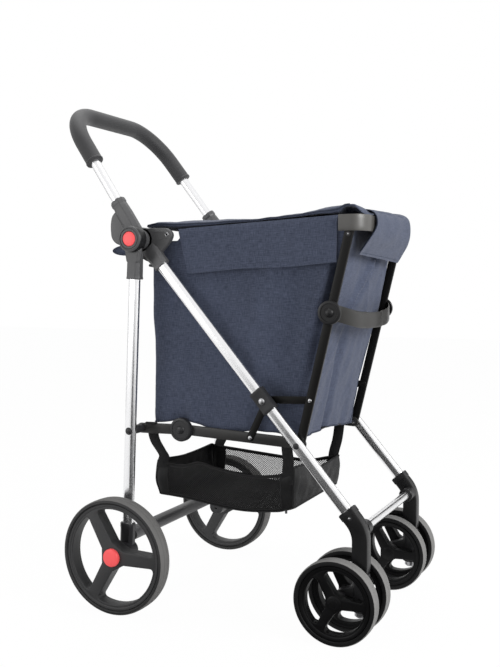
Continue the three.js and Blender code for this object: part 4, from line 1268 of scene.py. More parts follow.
def fork_stations():
    """From the leg's end, round the bend and down to the swivel."""
    stations = []
    leg_up = Vector((0, leg_down.y, -leg_down.x))
    for s, wide, tall in ((688, 0.9, 0.9), (689.5, 1.06, 1.05), (701, 1.06, 1.05), (702, 1.0, 0.98)):
        stations.append((at(fork_x, hub + leg_down * s * MM), across_x, leg_up, wide, tall))
    for angle in np.linspace(math.pi - lean, math.pi, 12):
        out = Vector((math.cos(angle), math.sin(angle)))
        point = at(fork_x, bend_centre + out * fork_bend)
        stations.append((point, across_x, Vector((0, out.x, out.y)), 1.0, 0.98))
    for z, wide in ((150 * MM, 1.0), (138 * MM, 0.96), (134 * MM, 0.92), (fork_bottom_z, 0.8)):
        stations.append((Vector((fork_x, swivel_y, z)), across_x, Vector((0, -1, 0)), wide, wide))
    return stations


fork_rivet_point = hub + leg_down * 704 * MM
fork = joined(
    "fork",
    [
        swept("body", rounded_section(25.6 * MM, fork_depth, 3.5 * MM, 2), fork_stations(), fork_plastic),
        turned(
            "bar socket",
            in_mm((9.4, 138), (14, 138), (15, 139.4), (15, 157), (16, 161.5), (9.4, 161.5)),
            bar_centre, fork_plastic, 40,
        ),
        pin("rivet seat", 4.6 * MM, fork_rivet_point, 186 * MM, 187.2 * MM, black_plastic),
        pin("fork rivet", 2.4 * MM, fork_rivet_point, 186.4 * MM, 188 * MM, rivet_steel, dome=0.6 * MM),
    ],
)
print("fork ends at", fork_bottom_z)

# %% Stem and cross bar


def upright(name, profile, x, material, steps=48, closed=True):
    """A (radius, z) profile turned about the swivel axis."""
    obj = turned(name, profile, Vector((0, 0)), material, steps, closed)
    obj.data.transform(Matrix(((0, 0, 1, x), (0, 1, 0, swivel_y), (1, 0, 0, 0), (0, 0, 0, 1))))
    obj.data.flip_normals()
    return obj


stem = upright(
    "stem", in_mm((0, 140), (6.5, 140), (6.5, 59), (11, 59), (12, 57.6), (12, 50), (8, 47), (0, 47)),
    caster_x, rivet_steel, 40, closed=False,
)
fork = joined("fork", [fork, stem])
both_sides(fork, "visual_front_fork", "front_frame", "black_plastic", "front_fork_{side}")
cross_bar = turned(
    "visual_front_cross_bar",
    in_mm((7.8, -153.8), (9, -153.4), (9, 153.4), (7.8, 153.8)),
    bar_centre, aluminium, 48,
)
place(cross_bar, "front_frame", ["front_cross_bar"], "aluminium")
print("bar at", bar_centre[:])

# %% Yoke and axle
yoke_head = upright(
    "head", in_mm((6.9, 131.6), (15, 131.6), (16.8, 129.6), (17, 70), (16.4, 59.6), (6.9, 59.6)),
    caster_x, black_plastic, 56,
)
yoke_outline = rounded_profile(
    [
        (swivel_y - 9 * MM, 68 * MM), (front_axle.x + 12 * MM, 71 * MM), (front_axle.x + 12 * MM, 93 * MM),
        (swivel_y + 12 * MM, 108 * MM), (swivel_y - 9 * MM, 104 * MM),
    ],
    8 * MM, 5,
)
yoke_arm = plate("arm", yoke_outline, 161.4 * MM, 184.6 * MM, black_plastic, 2 * MM)
yoke = joined(
    "yoke",
    [
        yoke_head,
        yoke_arm,
        pin("boss", 13 * MM, front_axle, 151.8 * MM, 194.2 * MM, black_plastic, edge=1 * MM),
        pin("axle", 5 * MM, front_axle, 124.4 * MM, 221.8 * MM, rivet_steel),
    ],
)
both_sides(yoke, "visual_caster_yoke", "caster_{side}", "black_plastic", "caster_yoke_{side}")
print("casters swivel about", caster_x, swivel_y)

# %% [markdown]
# ## Wheels
# Every wheel is a ring, a hub and three spokes. On the real wheel the spokes run into the ring with
# wide fillets and their broad flat faces are what the eye reads first. One ring of points describes the
# whole spider: out along a spoke, round the fillet, along the ring's inner edge and back down the next
# spoke. Extruding that outline gives a face without seams.

# %% Three-spoke spider


def spider_hole(opening, hub_radius, root_half, tip_half, middle, fillet):
    """One of the three openings, as a ring of side-view points about the axle."""
    half_turn = math.pi / 3
    tip_angle = math.asin((tip_half + fillet) / (opening - fillet))
    points = []
    for sign in (-1, 1):
        edge = middle + sign * half_turn
        along = Vector((math.cos(edge), math.sin(edge)))
        inward = Vector((math.sin(edge), -math.cos(edge))) * sign
        corner_angle = edge - sign * tip_angle
        corner = Vector((math.cos(corner_angle), math.sin(corner_angle))) * (opening - fillet)
        root = along * (hub_radius + 2 * MM) + inward * root_half
        tip = along * (opening - fillet * 1.2) + inward * tip_half
        side = [root, root.lerp(tip, 0.5), tip]
        for t in np.linspace(0.15, 1, 6):
            bend = corner - inward * fillet
            outer = Vector((math.cos(corner_angle), math.sin(corner_angle))) * opening
            side.append(bend_point(bend, bend + along * fillet, outer, t))
        points.append((side, corner_angle))
    (first, start), (last, end) = points
    rounded_rim = arc((0, 0), opening, math.degrees(start), math.degrees(end), 26)[1:-1]
    inner_bend = Vector((math.cos(middle), math.sin(middle))) * (hub_radius + 2 * MM)
    bottom = [last[0].lerp(inner_bend, 0.35), first[0].lerp(inner_bend, 0.35)]
    return first + rounded_rim + last[::-1] + bottom


def spider(name, centre, x0, x1, outer, opening, hub_radius, root_half, tip_half, material, bevel):
    """A disc between two layers with the three openings cut out of it, which leaves three spokes."""
    holes = []
    for k in (1, 3, 5):
        hole = spider_hole(opening, hub_radius, root_half, tip_half, math.pi + math.pi / 3 * k, 7 * MM)
        holes.append([centre + p for p in hole])
    return plate(name, arc(centre, outer, 0, 357.5, 143), x0, x1, material, bevel, holes)


def tread_tyre(name, centre, middle, half, radius, depth, side_material, tread_material, grooves):
    """A tyre with flat side walls, a rounded shoulder and fine grooves round the tread."""
    shoulder = half * 0.44
    inner = radius - depth
    wall = [(inner, -half * 0.86), (inner + 1.2 * MM, -half * 0.98), (radius - shoulder * 0.9, -half)]
    wall += [(radius - shoulder * 0.32, -half * 0.93), (radius - shoulder * 0.06, -half * 0.78)]
    tread = []
    for g in grooves:
        groove = half * g
        tread += [(radius, groove - 0.9 * MM), (radius - 0.7 * MM, groove - 0.3 * MM)]
        tread += [(radius - 0.7 * MM, groove + 0.3 * MM), (radius, groove + 0.9 * MM)]
    profile = [(r, middle + x) for r, x in wall + tread + [(r, -x) for r, x in wall[::-1]]]
    obj = turned(name, profile, centre, side_material, 144)
    obj.data.materials.append(tread_material)
    for face in obj.data.polygons:
        from_axle = math.hypot(face.center.y - centre.x, face.center.z - centre.y)
        if from_axle > radius - shoulder * 0.35:
            face.material_index = 1
    return obj

# %% Rear wheels
rear_middle = 250 * MM
rear_radius = 120 * MM


def ring_profile(middle, half, outer, opening, lip):
    """The rim's ring in section: broad faces with a raised lip beside the tyre."""
    right = [(opening, half - 4 * MM), (opening + 2 * MM, half - 1.2 * MM), (opening + 4 * MM, half)]
    right += [(outer - 1.6 * MM, half), (outer - 0.8 * MM, half - lip), (outer, half - lip)]
    return [(r, middle + x) for r, x in right] + [(r, middle - x) for r, x in right[::-1]]


hub_face = in_mm(
    (5.4, -14), (22, -14), (24, -12), (24, 12.5), (22.6, 14), (20.4, 14), (19.4, 13.2), (19.2, 9), (5.4, 9)
)
rear_ring = ring_profile(rear_middle, 15 * MM, 110.8 * MM, 101 * MM, 1.6 * MM)
rear_rim_parts = [
    turned("ring", rear_ring, rear_axle, wheel_plastic, 144),
    spider(
        "spider", rear_axle, rear_middle - 14.2 * MM, rear_middle + 14.4 * MM, 104 * MM, 99 * MM, 24 * MM,
        14.5 * MM, 12.5 * MM, wheel_plastic, 1.6 * MM,
    ),
    turned("hub face", [(r, rear_middle + x) for r, x in hub_face], rear_axle, wheel_plastic, 72),
]
rear_rim = joined("rear rim", rear_rim_parts)
both_sides(rear_rim, "visual_rear_rim", "rear_wheel_{side}", "wheel_plastic", "rear_rim_{side}")
rear_tyre = tread_tyre(
    "rear tyre", rear_axle, rear_middle, 18 * MM, rear_radius, 9 * MM, tyre_side, tyre_tread, (-0.3, 0.3)
)
both_sides(rear_tyre, "visual_rear_tyre", "rear_wheel_{side}", "tyre", "rear_tyre_{side}")
cap_section = in_mm(
    (0, 272.3), (9, 272.2), (15, 271.7), (17.6, 270.8), (18.5, 269.2), (18.5, 264.3), (0, 264.3)
)
cap = turned("cap", cap_section, rear_axle, coral_plastic, 72, closed=False)
both_sides(cap, "visual_rear_cap", "rear_wheel_{side}", "red_plastic", "rear_cap_{side}")
print("rear wheel", [round(v, 4) for v in high("rear_tyre_left")])

# %% Front wheels
hub_face = in_mm(
    (5.4, -11.8), (12, -11.8), (14.4, -10.4), (15, -8), (15, 8), (14.4, 10.4), (12, 11.8), (5.4, 11.8)
)
for side_name, wheel_sign in (("outer", 1), ("inner", -1)):
    # The front wheels' darker plastic is painted shade.
    wheel_middle = caster_x + wheel_sign * 37 * MM
    rim = joined(
        "front rim",
        [
            turned(
                "ring", ring_profile(wheel_middle, 11.5 * MM, 71.8 * MM, 61.4 * MM, 1.2 * MM), front_axle,
                front_wheel_plastic_shaded, 120,
            ),
            spider(
                "spider", front_axle, wheel_middle - 10 * MM, wheel_middle + 10 * MM, 64 * MM, 60 * MM,
                15 * MM, 10.5 * MM, 8.5 * MM, front_wheel_plastic_shaded, 1.4 * MM,
            ),
            turned(
                "hub face", [(r, wheel_middle + x) for r, x in hub_face], front_axle, front_wheel_plastic_shaded, 56
            ),
            pin(
                "axle cap", 8 * MM, front_axle, wheel_middle + wheel_sign * 11 * MM,
                wheel_middle + wheel_sign * 13 * MM, front_wheel_plastic_shaded,
                dome=wheel_sign * 0.4 * MM, edge=wheel_sign * 0.5 * MM,
            ),
        ],
    )
    wheel_body = "front_wheel_{side}_" + side_name
    both_sides(
        rim, "visual_front_rim_" + side_name, wheel_body, "wheel_plastic", "front_rim_{side}_" + side_name
    )
    # The lighter front tread is painted light, and the darker side wall is painted shade.
    tyre = tread_tyre(
        "front tyre", front_axle, wheel_middle, 13.5 * MM, 82 * MM, 10 * MM, front_tyre_side_shaded, front_tread_lit,
        (-0.35, 0, 0.35),
    )
    both_sides(tyre, "visual_front_tyre_" + side_name, wheel_body, "tyre", "front_tyre_{side}_" + side_name)
print("front wheels", [round(v, 4) for v in high("front_tyre_left_outer")])

# %% [markdown]
# ## Rear feet and cross tube
# A faceted black foot closes each rear leg and carries the wheel's axle. An oval tube joins the two feet.

# %% Rear feet
foot_section = rounded_section(21.8 * MM, 30.6 * MM, 6 * MM, 1)
foot_top_s = (178 * MM - hub.y) / rear_leg_down.y
foot_low_s = (118 * MM - hub.y) / rear_leg_down.y
foot = joined(
    "foot",
    [
        swept(
            "sleeve", foot_section,
            along_leg(
                rear_leg_x, rear_leg_down, foot_top_s, foot_low_s,
                ((0, 0.98, 0.98), (0.03, 1.05, 1.04), (0.16, 1.05, 1.04), (0.2, 1, 1), (1, 1, 1)),
            ),
            black_plastic,
        ),
        turned(
            "boss",
            in_mm((5.4, 192.3), (16.6, 192.3), (18.3, 194), (18.3, 231), (16, 235.4), (5.4, 235.6)),
            rear_axle, black_plastic, 64,
        ),
    ],
)
both_sides(foot, "visual_rear_foot", "rear_frame", "black_plastic", "rear_foot_{side}")
axle = pin("axle", 5 * MM, rear_axle, 199.2 * MM, 262.8 * MM, rivet_steel)
both_sides(axle, "visual_rear_axle", "rear_frame", "steel", "rear_axle_{side}")
tube_low, tube_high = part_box("rear_cross_tube")
tube_section = oval_section((tube_high.z - tube_low.z) * 1.3, tube_high.y - tube_low.y, 12)
tube_middle = (tube_low + tube_high) / 2
cross_tube = swept(
    "visual_rear_cross_tube", [(v, u) for u, v in tube_section],
    [
        (Vector((x * MM, tube_middle.y, tube_middle.z)), Vector((0, 1, 0)), Vector((0, 0, 1)), s, s)
        for x, s in ((-191.6, 0.97), (-191, 1), (191, 1), (191.6, 0.97))
    ],
    hub_plastic,
)
place(cross_tube, "rear_frame", ["rear_cross_tube"], "dark_paint")
print("cross tube", [round(v, 4) for v in tube_middle])

# %% [markdown]
# ## Soft goods
# The bag is one sewn shell: two side panels, a front and a rear panel and a floor. It hangs from a rim
# that is high in front and drops behind the cuffs. Its shape is a rounded rectangle at every height,
# and the folds are offsets along the surface. Smooth bells give the folds that have a cause, such as
# the tuck beside each post. Noise gives the loose ripples between them.

# %% Bells, ramps and ripples


def bell(value, centre, width):
    return math.exp(-(((value - centre) / width) ** 2))


def ramp(value, start, end):
    """0 before start, 1 after end, and a smooth rise between."""
    t = min(1.0, max(0.0, (value - start) / (end - start)))
    return t * t * (3 - 2 * t)


def ripple(x, y, z, size=1.0):
    """Smooth noise between about -1 and 1 for one place on the cloth."""
    return noise.noise(Vector((x, y, z)) / size) * 1.6


bag_low, bag_tall = 384 * MM, 406 * MM
stays_inside_x = 157.2 * MM


def bag_share(z):
    """How far up the wall of the bag a height is, from 0 to 1."""
    return (z - bag_low) / bag_tall


def post_line_y(z):
    return post_pivot.x - (z - post_pivot.y) * math.tan(post_lean)


def rim_z(y):
    """The rim rises gently to the front and drops just behind the cuffs."""
    drop = ramp(y, 69 * MM, 81 * MM)
    return (788.6 * MM + (140 * MM - y) * 0.0512) * (1 - drop) + 768 * MM * drop


def bag_rear_y(z):
    return 144.5 * MM + 2 * MM * bag_share(z)


def bag_front_y(z):
    """The front panel hangs just behind the posts' line."""
    return post_line_y(z) + 4 * MM


def bag_half(z):
    return 151 * MM + 6 * MM * bag_share(z)


print("bag front at rim", round(bag_front_y(0.8), 4))

# %% A rounded rectangle walked from its rear left corner


def walk_ring(u, half, front, rear, corner):
    """The point and the outward direction at share u round the ring, left side first."""
    side = rear - front - 2 * corner
    across = 2 * half - 2 * corner
    bend = corner * math.pi / 2
    left = u * 2 * (side + across + 2 * bend)
    angle = 0.0
    point = Vector((half, rear - corner))
    for leg, turning in ((side, 0), (bend, 1), (across, 0), (bend, 1)) * 2:
        part = min(left, leg)
        if turning:
            centre = point - Vector((math.cos(angle), math.sin(angle))) * corner
            angle -= part / corner
            point = centre + Vector((math.cos(angle), math.sin(angle))) * corner
        else:
            point = point + Vector((math.sin(angle), -math.cos(angle))) * part
        left -= part
        if left <= 0:
            break
    return point, Vector((math.cos(angle), math.sin(angle)))


def cloth_grid(name, point, columns, rows, material, thickness, wrap=False, offset=-1.0):
    """A grid of point(u, v) with a cloth's thickness. With wrap its two sides meet."""
    us = np.linspace(0, 1, columns + 1)
    us = us[:-1] if wrap else us
    vertices = [point(u, v) for v in np.linspace(0, 1, rows + 1) for u in us]
    obj = build(name, vertices, grid_faces(rows + 1, len(us), close_columns=wrap), material, 60)
    thick = obj.modifiers.new("thickness", "SOLIDIFY")
    thick.thickness = thickness
    thick.offset = offset
    thick.use_even_offset = True
    baked(obj)
    smooth(obj.data, 60)
    return obj

# %% Folds of the bag


def side_folds(y, z, sign):
    """How far a side panel stands out of its flat plane, at one place, all in metres."""
    tuck = post_line_y(z) + 20 * MM
    middle = math.sin(math.pi * bag_share(z))
    out = 0.004 * middle * bell(y, 0.03, 0.09)
    out -= 0.013 * middle * bell(y, -0.165 + 0.1 * (0.6 - z), 0.042)
    tuck_depth = 0.35 * ramp(z, 0.47, 0.53) + 0.65 * ramp(z, 0.58, 0.64)
    out -= 0.024 * bell(y, tuck, 0.0075) * tuck_depth * (1 - ramp(z, 0.715, 0.735))
    out += 0.0035 * bell(y, tuck + 0.017, 0.011) * ramp(z, 0.52, 0.64) * (1 - ramp(z, 0.70, 0.725))
    out -= 0.011 * bell(y, tuck + 0.004, 0.015) * ramp(z, 0.40, 0.48) * (1 - ramp(z, 0.56, 0.61))
    out += 0.0062 * ripple(y * 1.0 + z * 0.5, z * 0.35, sign * 3.0, 0.085)
    out += 0.0024 * ripple(y, z * 0.8, sign * 5.0, 0.034)
    out += 0.0025 * bell(y - 0.4 * (z - 0.66), 0.075, 0.012) * ramp(z, 0.55, 0.6) * (1 - ramp(z, 0.70, 0.74))
    hem = 1 - ramp(z, 0.386, 0.46)
    out += 0.0026 * hem * ripple(y, z * 0.1, sign * 9.0, 0.02)
    return min(out * (1 - ramp(z, 0.745, 0.775)), stays_inside_x - bag_half(z))


def front_folds(x, z):
    """Folds of the front panel: it bellies out, with one long crease that falls to the left."""
    rising = x + 0.02 - (z - 0.68) * 0.95
    falling = x - 0.035 + (z - 0.66) * 0.45
    upper = ramp(z, 0.585, 0.63) * (1 - ramp(z, 0.73, 0.765))
    out = 0.006 * math.cos(x / 0.15 * math.pi / 2) * math.sin(math.pi * ramp(z, 0.36, 0.82))
    out += 0.0095 * bell(rising, 0, 0.011) * upper - 0.0085 * bell(rising, 0.024, 0.015) * upper
    out += 0.0035 * bell(falling, 0, 0.01) * upper
    out += 0.004 * bell(x, 0.085 + (0.6 - z) * 0.2, 0.014) * (1 - ramp(z, 0.56, 0.64))
    out -= 0.011 * bell(x, -0.055 + (0.6 - z) * 0.12, 0.013) * (1 - ramp(z, 0.55, 0.62))
    lower = 1 - ramp(z, 0.47, 0.56)
    out += 0.0012 * lower * math.sin(x * 90 + 1.2 * ripple(z, 1.0, 3.0, 0.08))
    out += 0.0036 * ripple(x + z * 0.4, z * 0.45, 2.0, 0.07)
    out += 0.0016 * ripple(x, z * 0.6, 7.0, 0.028)
    return out * (1 - ramp(z, 0.765, 0.795))


def bottom_edge(x, y):
    """The sewn lower edge: it lifts behind the folding discs and dips between them and the front."""
    lift = 0.011 * bell(y, 0.07, 0.045) - 0.006 * bell(y, -0.03, 0.06) + 0.002 * ripple(x, y, 4.0, 0.05)
    front_drop = (0.008 + 0.012 * ramp(x, 0.0, 0.14)) * (1 - ramp(y, -0.2, -0.12))
    return 0.386 + lift - front_drop

# %% Bag shell and floor


def bag_point(u, v):
    z = 0.6
    for _ in range(3):
        corner = (9 + 2 * ramp(z, 0.384, 0.6)) * MM
        point, out = walk_ring(u, bag_half(z), bag_front_y(z), bag_rear_y(z), corner)
        top = rim_z(point.y)
        z = top + (bottom_edge(point.x, point.y) - top) * v
    facing_side = abs(out.x) ** 2
    sign = 1 if point.x > 0 else -1
    relief = side_folds(point.y, z, sign) * facing_side
    relief += (front_folds(point.x, z) if out.y < 0 else 0.4 * front_folds(-point.x, z)) * (1 - facing_side)
    return Vector((point.x + out.x * relief, point.y + out.y * relief, z))


bag_shell = cloth_grid("bag shell", bag_point, 300, 90, navy, 1.6 * MM, wrap=True)


floor_half_x, floor_z = 141 * MM, 386 * MM


def floor_point(u, v):
    """The floor of the bag: a stiff board in cloth that sags a little in the middle."""
    x = (0.5 - u) * 2 * floor_half_x
    y = bag_rear_y(floor_z) - 2 * MM + (bag_front_y(floor_z) - bag_rear_y(floor_z) + 4 * MM) * v
    edge = bottom_edge(x, y)
    sag = 6 * MM * math.sin(math.pi * u) * math.sin(math.pi * v)
    return Vector((x, y, edge + 1.5 * MM - sag))


bag_floor = cloth_grid("bag floor", floor_point, 60, 70, nylon, 2.5 * MM)
print("bag shell", len(bag_shell.data.polygons), "faces")

# %% [markdown]
# Seams make a bag read as sewn. A fine roll of seam tape follows the lower edge and climbs the two
# front corners. It is a thin tube laid on the cloth's own points, so it follows every fold.

# %% Seams of the bag


def piped(name, points, radius, material, closed=False):
    """A thin round roll along a line of points."""
    curve = bpy.data.curves.new(name, "CURVE")
    curve.dimensions = "3D"
    curve.bevel_depth = radius
    curve.bevel_resolution = 2
    curve.use_fill_caps = True
    add_line(curve, points, closed)
    return skinned(baked(linked(name, curve)), material, 70)


def round_once(steps):
    """Even shares of the way round a ring."""
    return np.linspace(0, 1, steps, endpoint=False)


def ring_share(target):
    """The share round the ring that comes nearest to a place seen from above."""
    return min(round_once(400), key=lambda u: (bag_point(u, 0.5).to_2d() - Vector(target)).length)


bag_middle_z = 590 * MM
front_corners = [
    ring_share((sign * bag_half(bag_middle_z), bag_front_y(bag_middle_z))) for sign in (1, -1)
]
seams = [piped("bottom seam", [bag_point(u, 1.0) for u in round_once(200)], 1.9 * MM, navy_trim, True)]
for corner_share in front_corners:
    seam_line = [bag_point(corner_share, v) for v in np.linspace(0.02, 1, 60)]
    seams.append(piped("corner seam", seam_line, 1.2 * MM, navy_trim))
print("corner seams at", [round(share, 3) for share in front_corners])

# %% [markdown]
# The cuffs are wide hems: the cloth comes up over the rim and hangs down outside for nine centimetres.
# Only the rim holds them, so the lower edge stands off the panel and waves a little. The rear corner
# curls in.

# %% Cuffs


cuff_rear, cuff_front, cuff_tall = 78 * MM, -268.6 * MM, 90 * MM


def cuff_point(u, v):
    """From the rear edge to the post, and from the rim down."""
    z_top = rim_z(cuff_rear - 347 * MM * u) if u > 0.05 else 791.8 * MM
    z = z_top - cuff_tall * v + (1.6 * MM * ripple(u * 3, v, 1.5) if v > 0.9 else 0)
    rear_edge = cuff_rear - 23 * MM * v
    y = rear_edge + (cuff_front - rear_edge) * u
    wave = ripple(u * 2.3, v * 0.6, 4.2) * math.sin(math.pi * min(u * 1.2, 1))
    stand = 3.0 * MM + (3.4 * MM + 2.2 * MM * wave) * v**1.5
    stand += 2.6 * MM * bell(u, 0, 0.1) * (0.4 + 0.6 * v) - 3.2 * MM * bell(u, 0, 0.035) * bell(v, 1, 0.22)
    roll = 2.6 * MM * bell(v, 0, 0.05)
    limit = (161.8 + 3.4 * (1 - ramp(u, 0.55, 0.9))) * MM
    return Vector((min(bag_half(z) + stand - roll, limit), y, z))


cuff = cloth_grid("visual_cuff_left", cuff_point, 110, 36, navy, 2.0 * MM, offset=1.0)


stitch_spacing, stitch_half = 5 * MM, 0.45 * MM


def stitched(name, point_at, length, material, out=Vector((1, 0, 0))):
    """A row of short stitches along a line: point_at(t) for t from 0 to 1."""
    count = max(4, int(length / stitch_spacing))
    bm = bmesh.new()
    for i in range(count):
        a, b = Vector(point_at((i + 0.15) / count)), Vector(point_at((i + 0.8) / count))
        move = Matrix.Translation((a + b) / 2 + out * 0.25 * MM)
        turn = (b - a).to_track_quat("X", "Z").to_matrix().to_4x4()
        size = Matrix.Diagonal(((b - a).length / 2, stitch_half, stitch_half, 1))
        made = bmesh.ops.create_uvsphere(bm, u_segments=6, v_segments=5, radius=1.0)
        bmesh.ops.transform(bm, verts=made["verts"], matrix=move @ turn @ size)
    mesh = bpy.data.meshes.new(name)
    bm.to_mesh(mesh)
    bm.free()
    mesh.materials.append(material)
    mesh.shade_smooth()
    return linked(name, mesh)


cuff_hem = stitched(
    "hem", lambda t: cuff_point(0.03 + 0.94 * t, 0.9) + Vector((1.6 * MM, 0, 0)), 0.32, navy_trim
)
cuff = joined("visual_cuff_left", [cuff, cuff_hem])
cuff_right = mirrored(cuff, "visual_cuff_right")
print("cuff", [round(v, 4) for v in cuff.dimensions])

# %% [markdown]
# Behind the hubs the spare cloth is rolled up and held by a strip. The roll is a spiral section swept
# across the trolley, and the strip rises from it to the rear rim.

# %% Rear roll
roll_middle = Vector((197 * MM, 750 * MM))


def roll_point(u, v):
    """Across the trolley by u. By v: from the bag's rear rim back to the roll, then twice round it."""
    x = (u * 2 - 1) * 158.5 * MM
    if v < 0.35:
        t = v / 0.35
        y = 139 * MM + (roll_middle.x - 139 * MM) * t
        z = 766 * MM - 4 * MM * t - 7 * MM * math.sin(math.pi * t)
    else:
        t = (v - 0.35) / 0.65
        turn_angle = math.pi / 2 - t * 4 * math.pi
        wide, tall = 46 * MM * (1 - 0.12 * t), 12 * MM * (1 - 0.5 * t)
        y = roll_middle.x + wide * math.cos(turn_angle)
        z = roll_middle.y + tall * math.sin(turn_angle)
    crumple = 0.9 * MM * ripple(x * 3, y, z, 0.05)
    return Vector((x, y + crumple, z + crumple))


rear_roll = cloth_grid("rear roll", roll_point, 60, 90, navy, 1.2 * MM, offset=0)
core_outline = [
    roll_middle + Vector((44 * MM * math.cos(a), 10.6 * MM * math.sin(a)))
    for a in np.linspace(0, 2 * math.pi, 41)[:-1]
]
roll_core = plate("roll core", core_outline, -157 * MM, 157 * MM, navy, 2 * MM)
peg_points = ((149, 132, 716), (150, 143, 716), (150, 155, 718))
pegs = []
for sign in (-1, 1):
    peg_path = [Vector((sign * x, y, z)) * MM for x, y, z in peg_points]
    pegs.append(piped("peg", peg_path, 2.8 * MM, black_plastic))
bag_piece = joined("visual_bag", [bag_shell, bag_floor, rear_roll, roll_core, *seams, *pegs])
print("bag", [round(v, 4) for v in bag_piece.dimensions])

# %% [markdown]
# ## Lid and front flap
# The lid is a padded cover. It lies flat behind, and in front it humps up over the corners of the band
# before it dives into the flap. One grid walks over the top and back underneath, and narrows to the
# nose. The flap hangs over the band as two layers of cloth, wider below than above.

# %% Lid heights and widths
lid_rear, lid_nose = 161 * MM, -326 * MM


def lid_edge_z(y):
    """The height of the lid's top near its long edges."""
    tail = -5.5 * MM * ramp(y, 0.128, 0.165)
    rise = 6 * MM * (1 - ramp(y, -0.2, -0.08)) + 17 * MM * (1 - ramp(y, -0.287, -0.18))
    fall = 19 * MM * (1 - ramp(y, -0.319, -0.299))
    return 809 * MM + tail + rise - fall


def lid_half_width(y):
    return 156 * MM - 36 * MM * (1 - ramp(y, -0.326, -0.302)) - 6 * MM * ramp(y, 0.128, 0.165)


def lid_floor(y):
    """The lowest that the lid's underside comes: the rim, or the top of the band in front."""
    if y <= -0.29:
        return 810.9 * MM
    return rim_z(min(y, 60 * MM)) + 1.0 * MM + 2 * MM * ramp(y, 0.1, 0.16)


def lid_edge_height(y):
    """How tall the side edge is: down to the rim behind, and a thin lip over the corner of the band."""
    full = lid_edge_z(y) - lid_floor(y)
    lip = ramp(y, -0.284, -0.268)
    return 6.5 * MM * (1 - lip) + full * lip

# %% Lid


def lid_point(u, v):
    """Round the lid's section by u, top first, and from the rear to the nose by v.

    In front the top is kept under a ceiling, so the hump stays nearly level across the trolley.
    """
    y = lid_rear + (lid_nose - lid_rear) * v
    half = lid_half_width(y) - 1.5 * MM * bell(v, 0, 0.01)
    crown = 5.5 * MM * ramp(y, 0.13, 0.05) + 3 * MM * bell(y, -0.225, 0.03)
    nose = 1 - ramp(y, -0.326, -0.29)
    top_middle = lid_edge_z(y) + crown
    if y < -0.2:
        top_middle = min(top_middle, (830 - 8 * (1 - ramp(y, -0.326, -0.285))) * MM)
    if y < -0.29:
        top_middle = max(top_middle, 820 * MM)
    angle = 2 * math.pi * u
    c, s = math.cos(angle), math.sin(angle)
    x = half * math.copysign(abs(c) ** 0.3, c)
    share = abs(x) / half
    curl = 2.2 + 3.3 * (1 - ramp(y, -0.27, -0.2))
    top = lid_edge_z(y) + (top_middle - lid_edge_z(y)) * (1 - share**curl)
    top += (1.5 * MM * ripple(x, y, 1.0, 0.06) + 0.7 * MM * ripple(x, y, 5.0, 0.022)) * (1 - 0.6 * nose)
    if y < -0.22:
        ceiling = 829 * MM + 0.05 * x - 0.1 * max(0.0, -0.289 - y)
        ceiling += 0.012 * ramp(-x, 0.11, 0.14) + 0.012 * ramp(y, -0.27, -0.22)
        top = min(top, ceiling)
    if -0.2 < y < -0.155:
        top = min(top, 831.5 * MM)
    thick = lid_edge_height(y)
    z = top - thick / 2 + thick / 2 * math.copysign(abs(s) ** 0.55, s)
    return Vector((x, y, max(z, lid_floor(y) if s < 0 else z)))


lid_columns, lid_rows = 160, 151
lid_body = build(
    "lid body",
    [lid_point(u, v) for v in np.linspace(0, 1, lid_rows) for u in round_once(lid_columns)],
    grid_faces(lid_rows, lid_columns) + end_caps(lid_rows, lid_columns),
    navy, 60,
)
lid_piping = []
for sign, edge_u in ((1, 0.0), (-1, 0.5)):
    lift = Vector((sign * 0.2 * MM, 0, 1.5 * MM))
    edge = [lid_point(edge_u, v) + lift for v in np.linspace(0.005, 0.93, 90)]
    lid_piping.append(piped("lid piping", edge, 1.4 * MM, navy_trim))
lid = joined("visual_lid", [lid_body, *lid_piping])
print("lid", [round(v, 4) for v in lid.dimensions])

# %% The flap's line
flap_profile = [
    Vector(p)
    for p in in_mm(
        (-294, 825), (-310, 824), (-322, 820), (-330, 812), (-333, 798), (-331, 782), (-324, 766),
        (-312, 749), (-299.5, 731),
    )
]
flap_length = sum((b - a).length for a, b in zip(flap_profile, flap_profile[1:]))
print("flap length", round(flap_length, 4))


def flap_half_width(s):
    """Half the width at s along the flap, from its top edge: a waist at the band, then wider."""
    return (118 - 4 * bell(s, 0.05, 0.02) + 12 * ramp(s, 0.055, 0.1)) * MM


def smooth_step(knots, i, f):
    """On a smooth line through the knots: the place at share f after knot i, and the way on."""
    before, a, b, after = knots[max(i - 1, 0)], knots[i], knots[i + 1], knots[min(i + 2, len(knots) - 1)]
    curve, twist = 2 * before - 5 * a + 4 * b - after, 3 * a - before - 3 * b + after
    point = 0.5 * ((2 * a) + (b - before) * f + curve * f**2 + twist * f**3)
    heading = 0.5 * ((b - before) + 2 * curve * f + 3 * twist * f**2)
    return point, heading.normalized()


def flap_line(s):
    """The flap's middle line in the side view, s from its top edge, with the way it faces."""
    left = s
    knots = flap_profile
    for i in range(len(knots) - 1):
        piece = (knots[i + 1] - knots[i]).length
        if left <= piece or i == len(knots) - 2:
            break
        left -= piece
    point, heading = smooth_step(knots, i, left / piece)
    return point, Vector((heading.y, -heading.x))

# %% Front flap


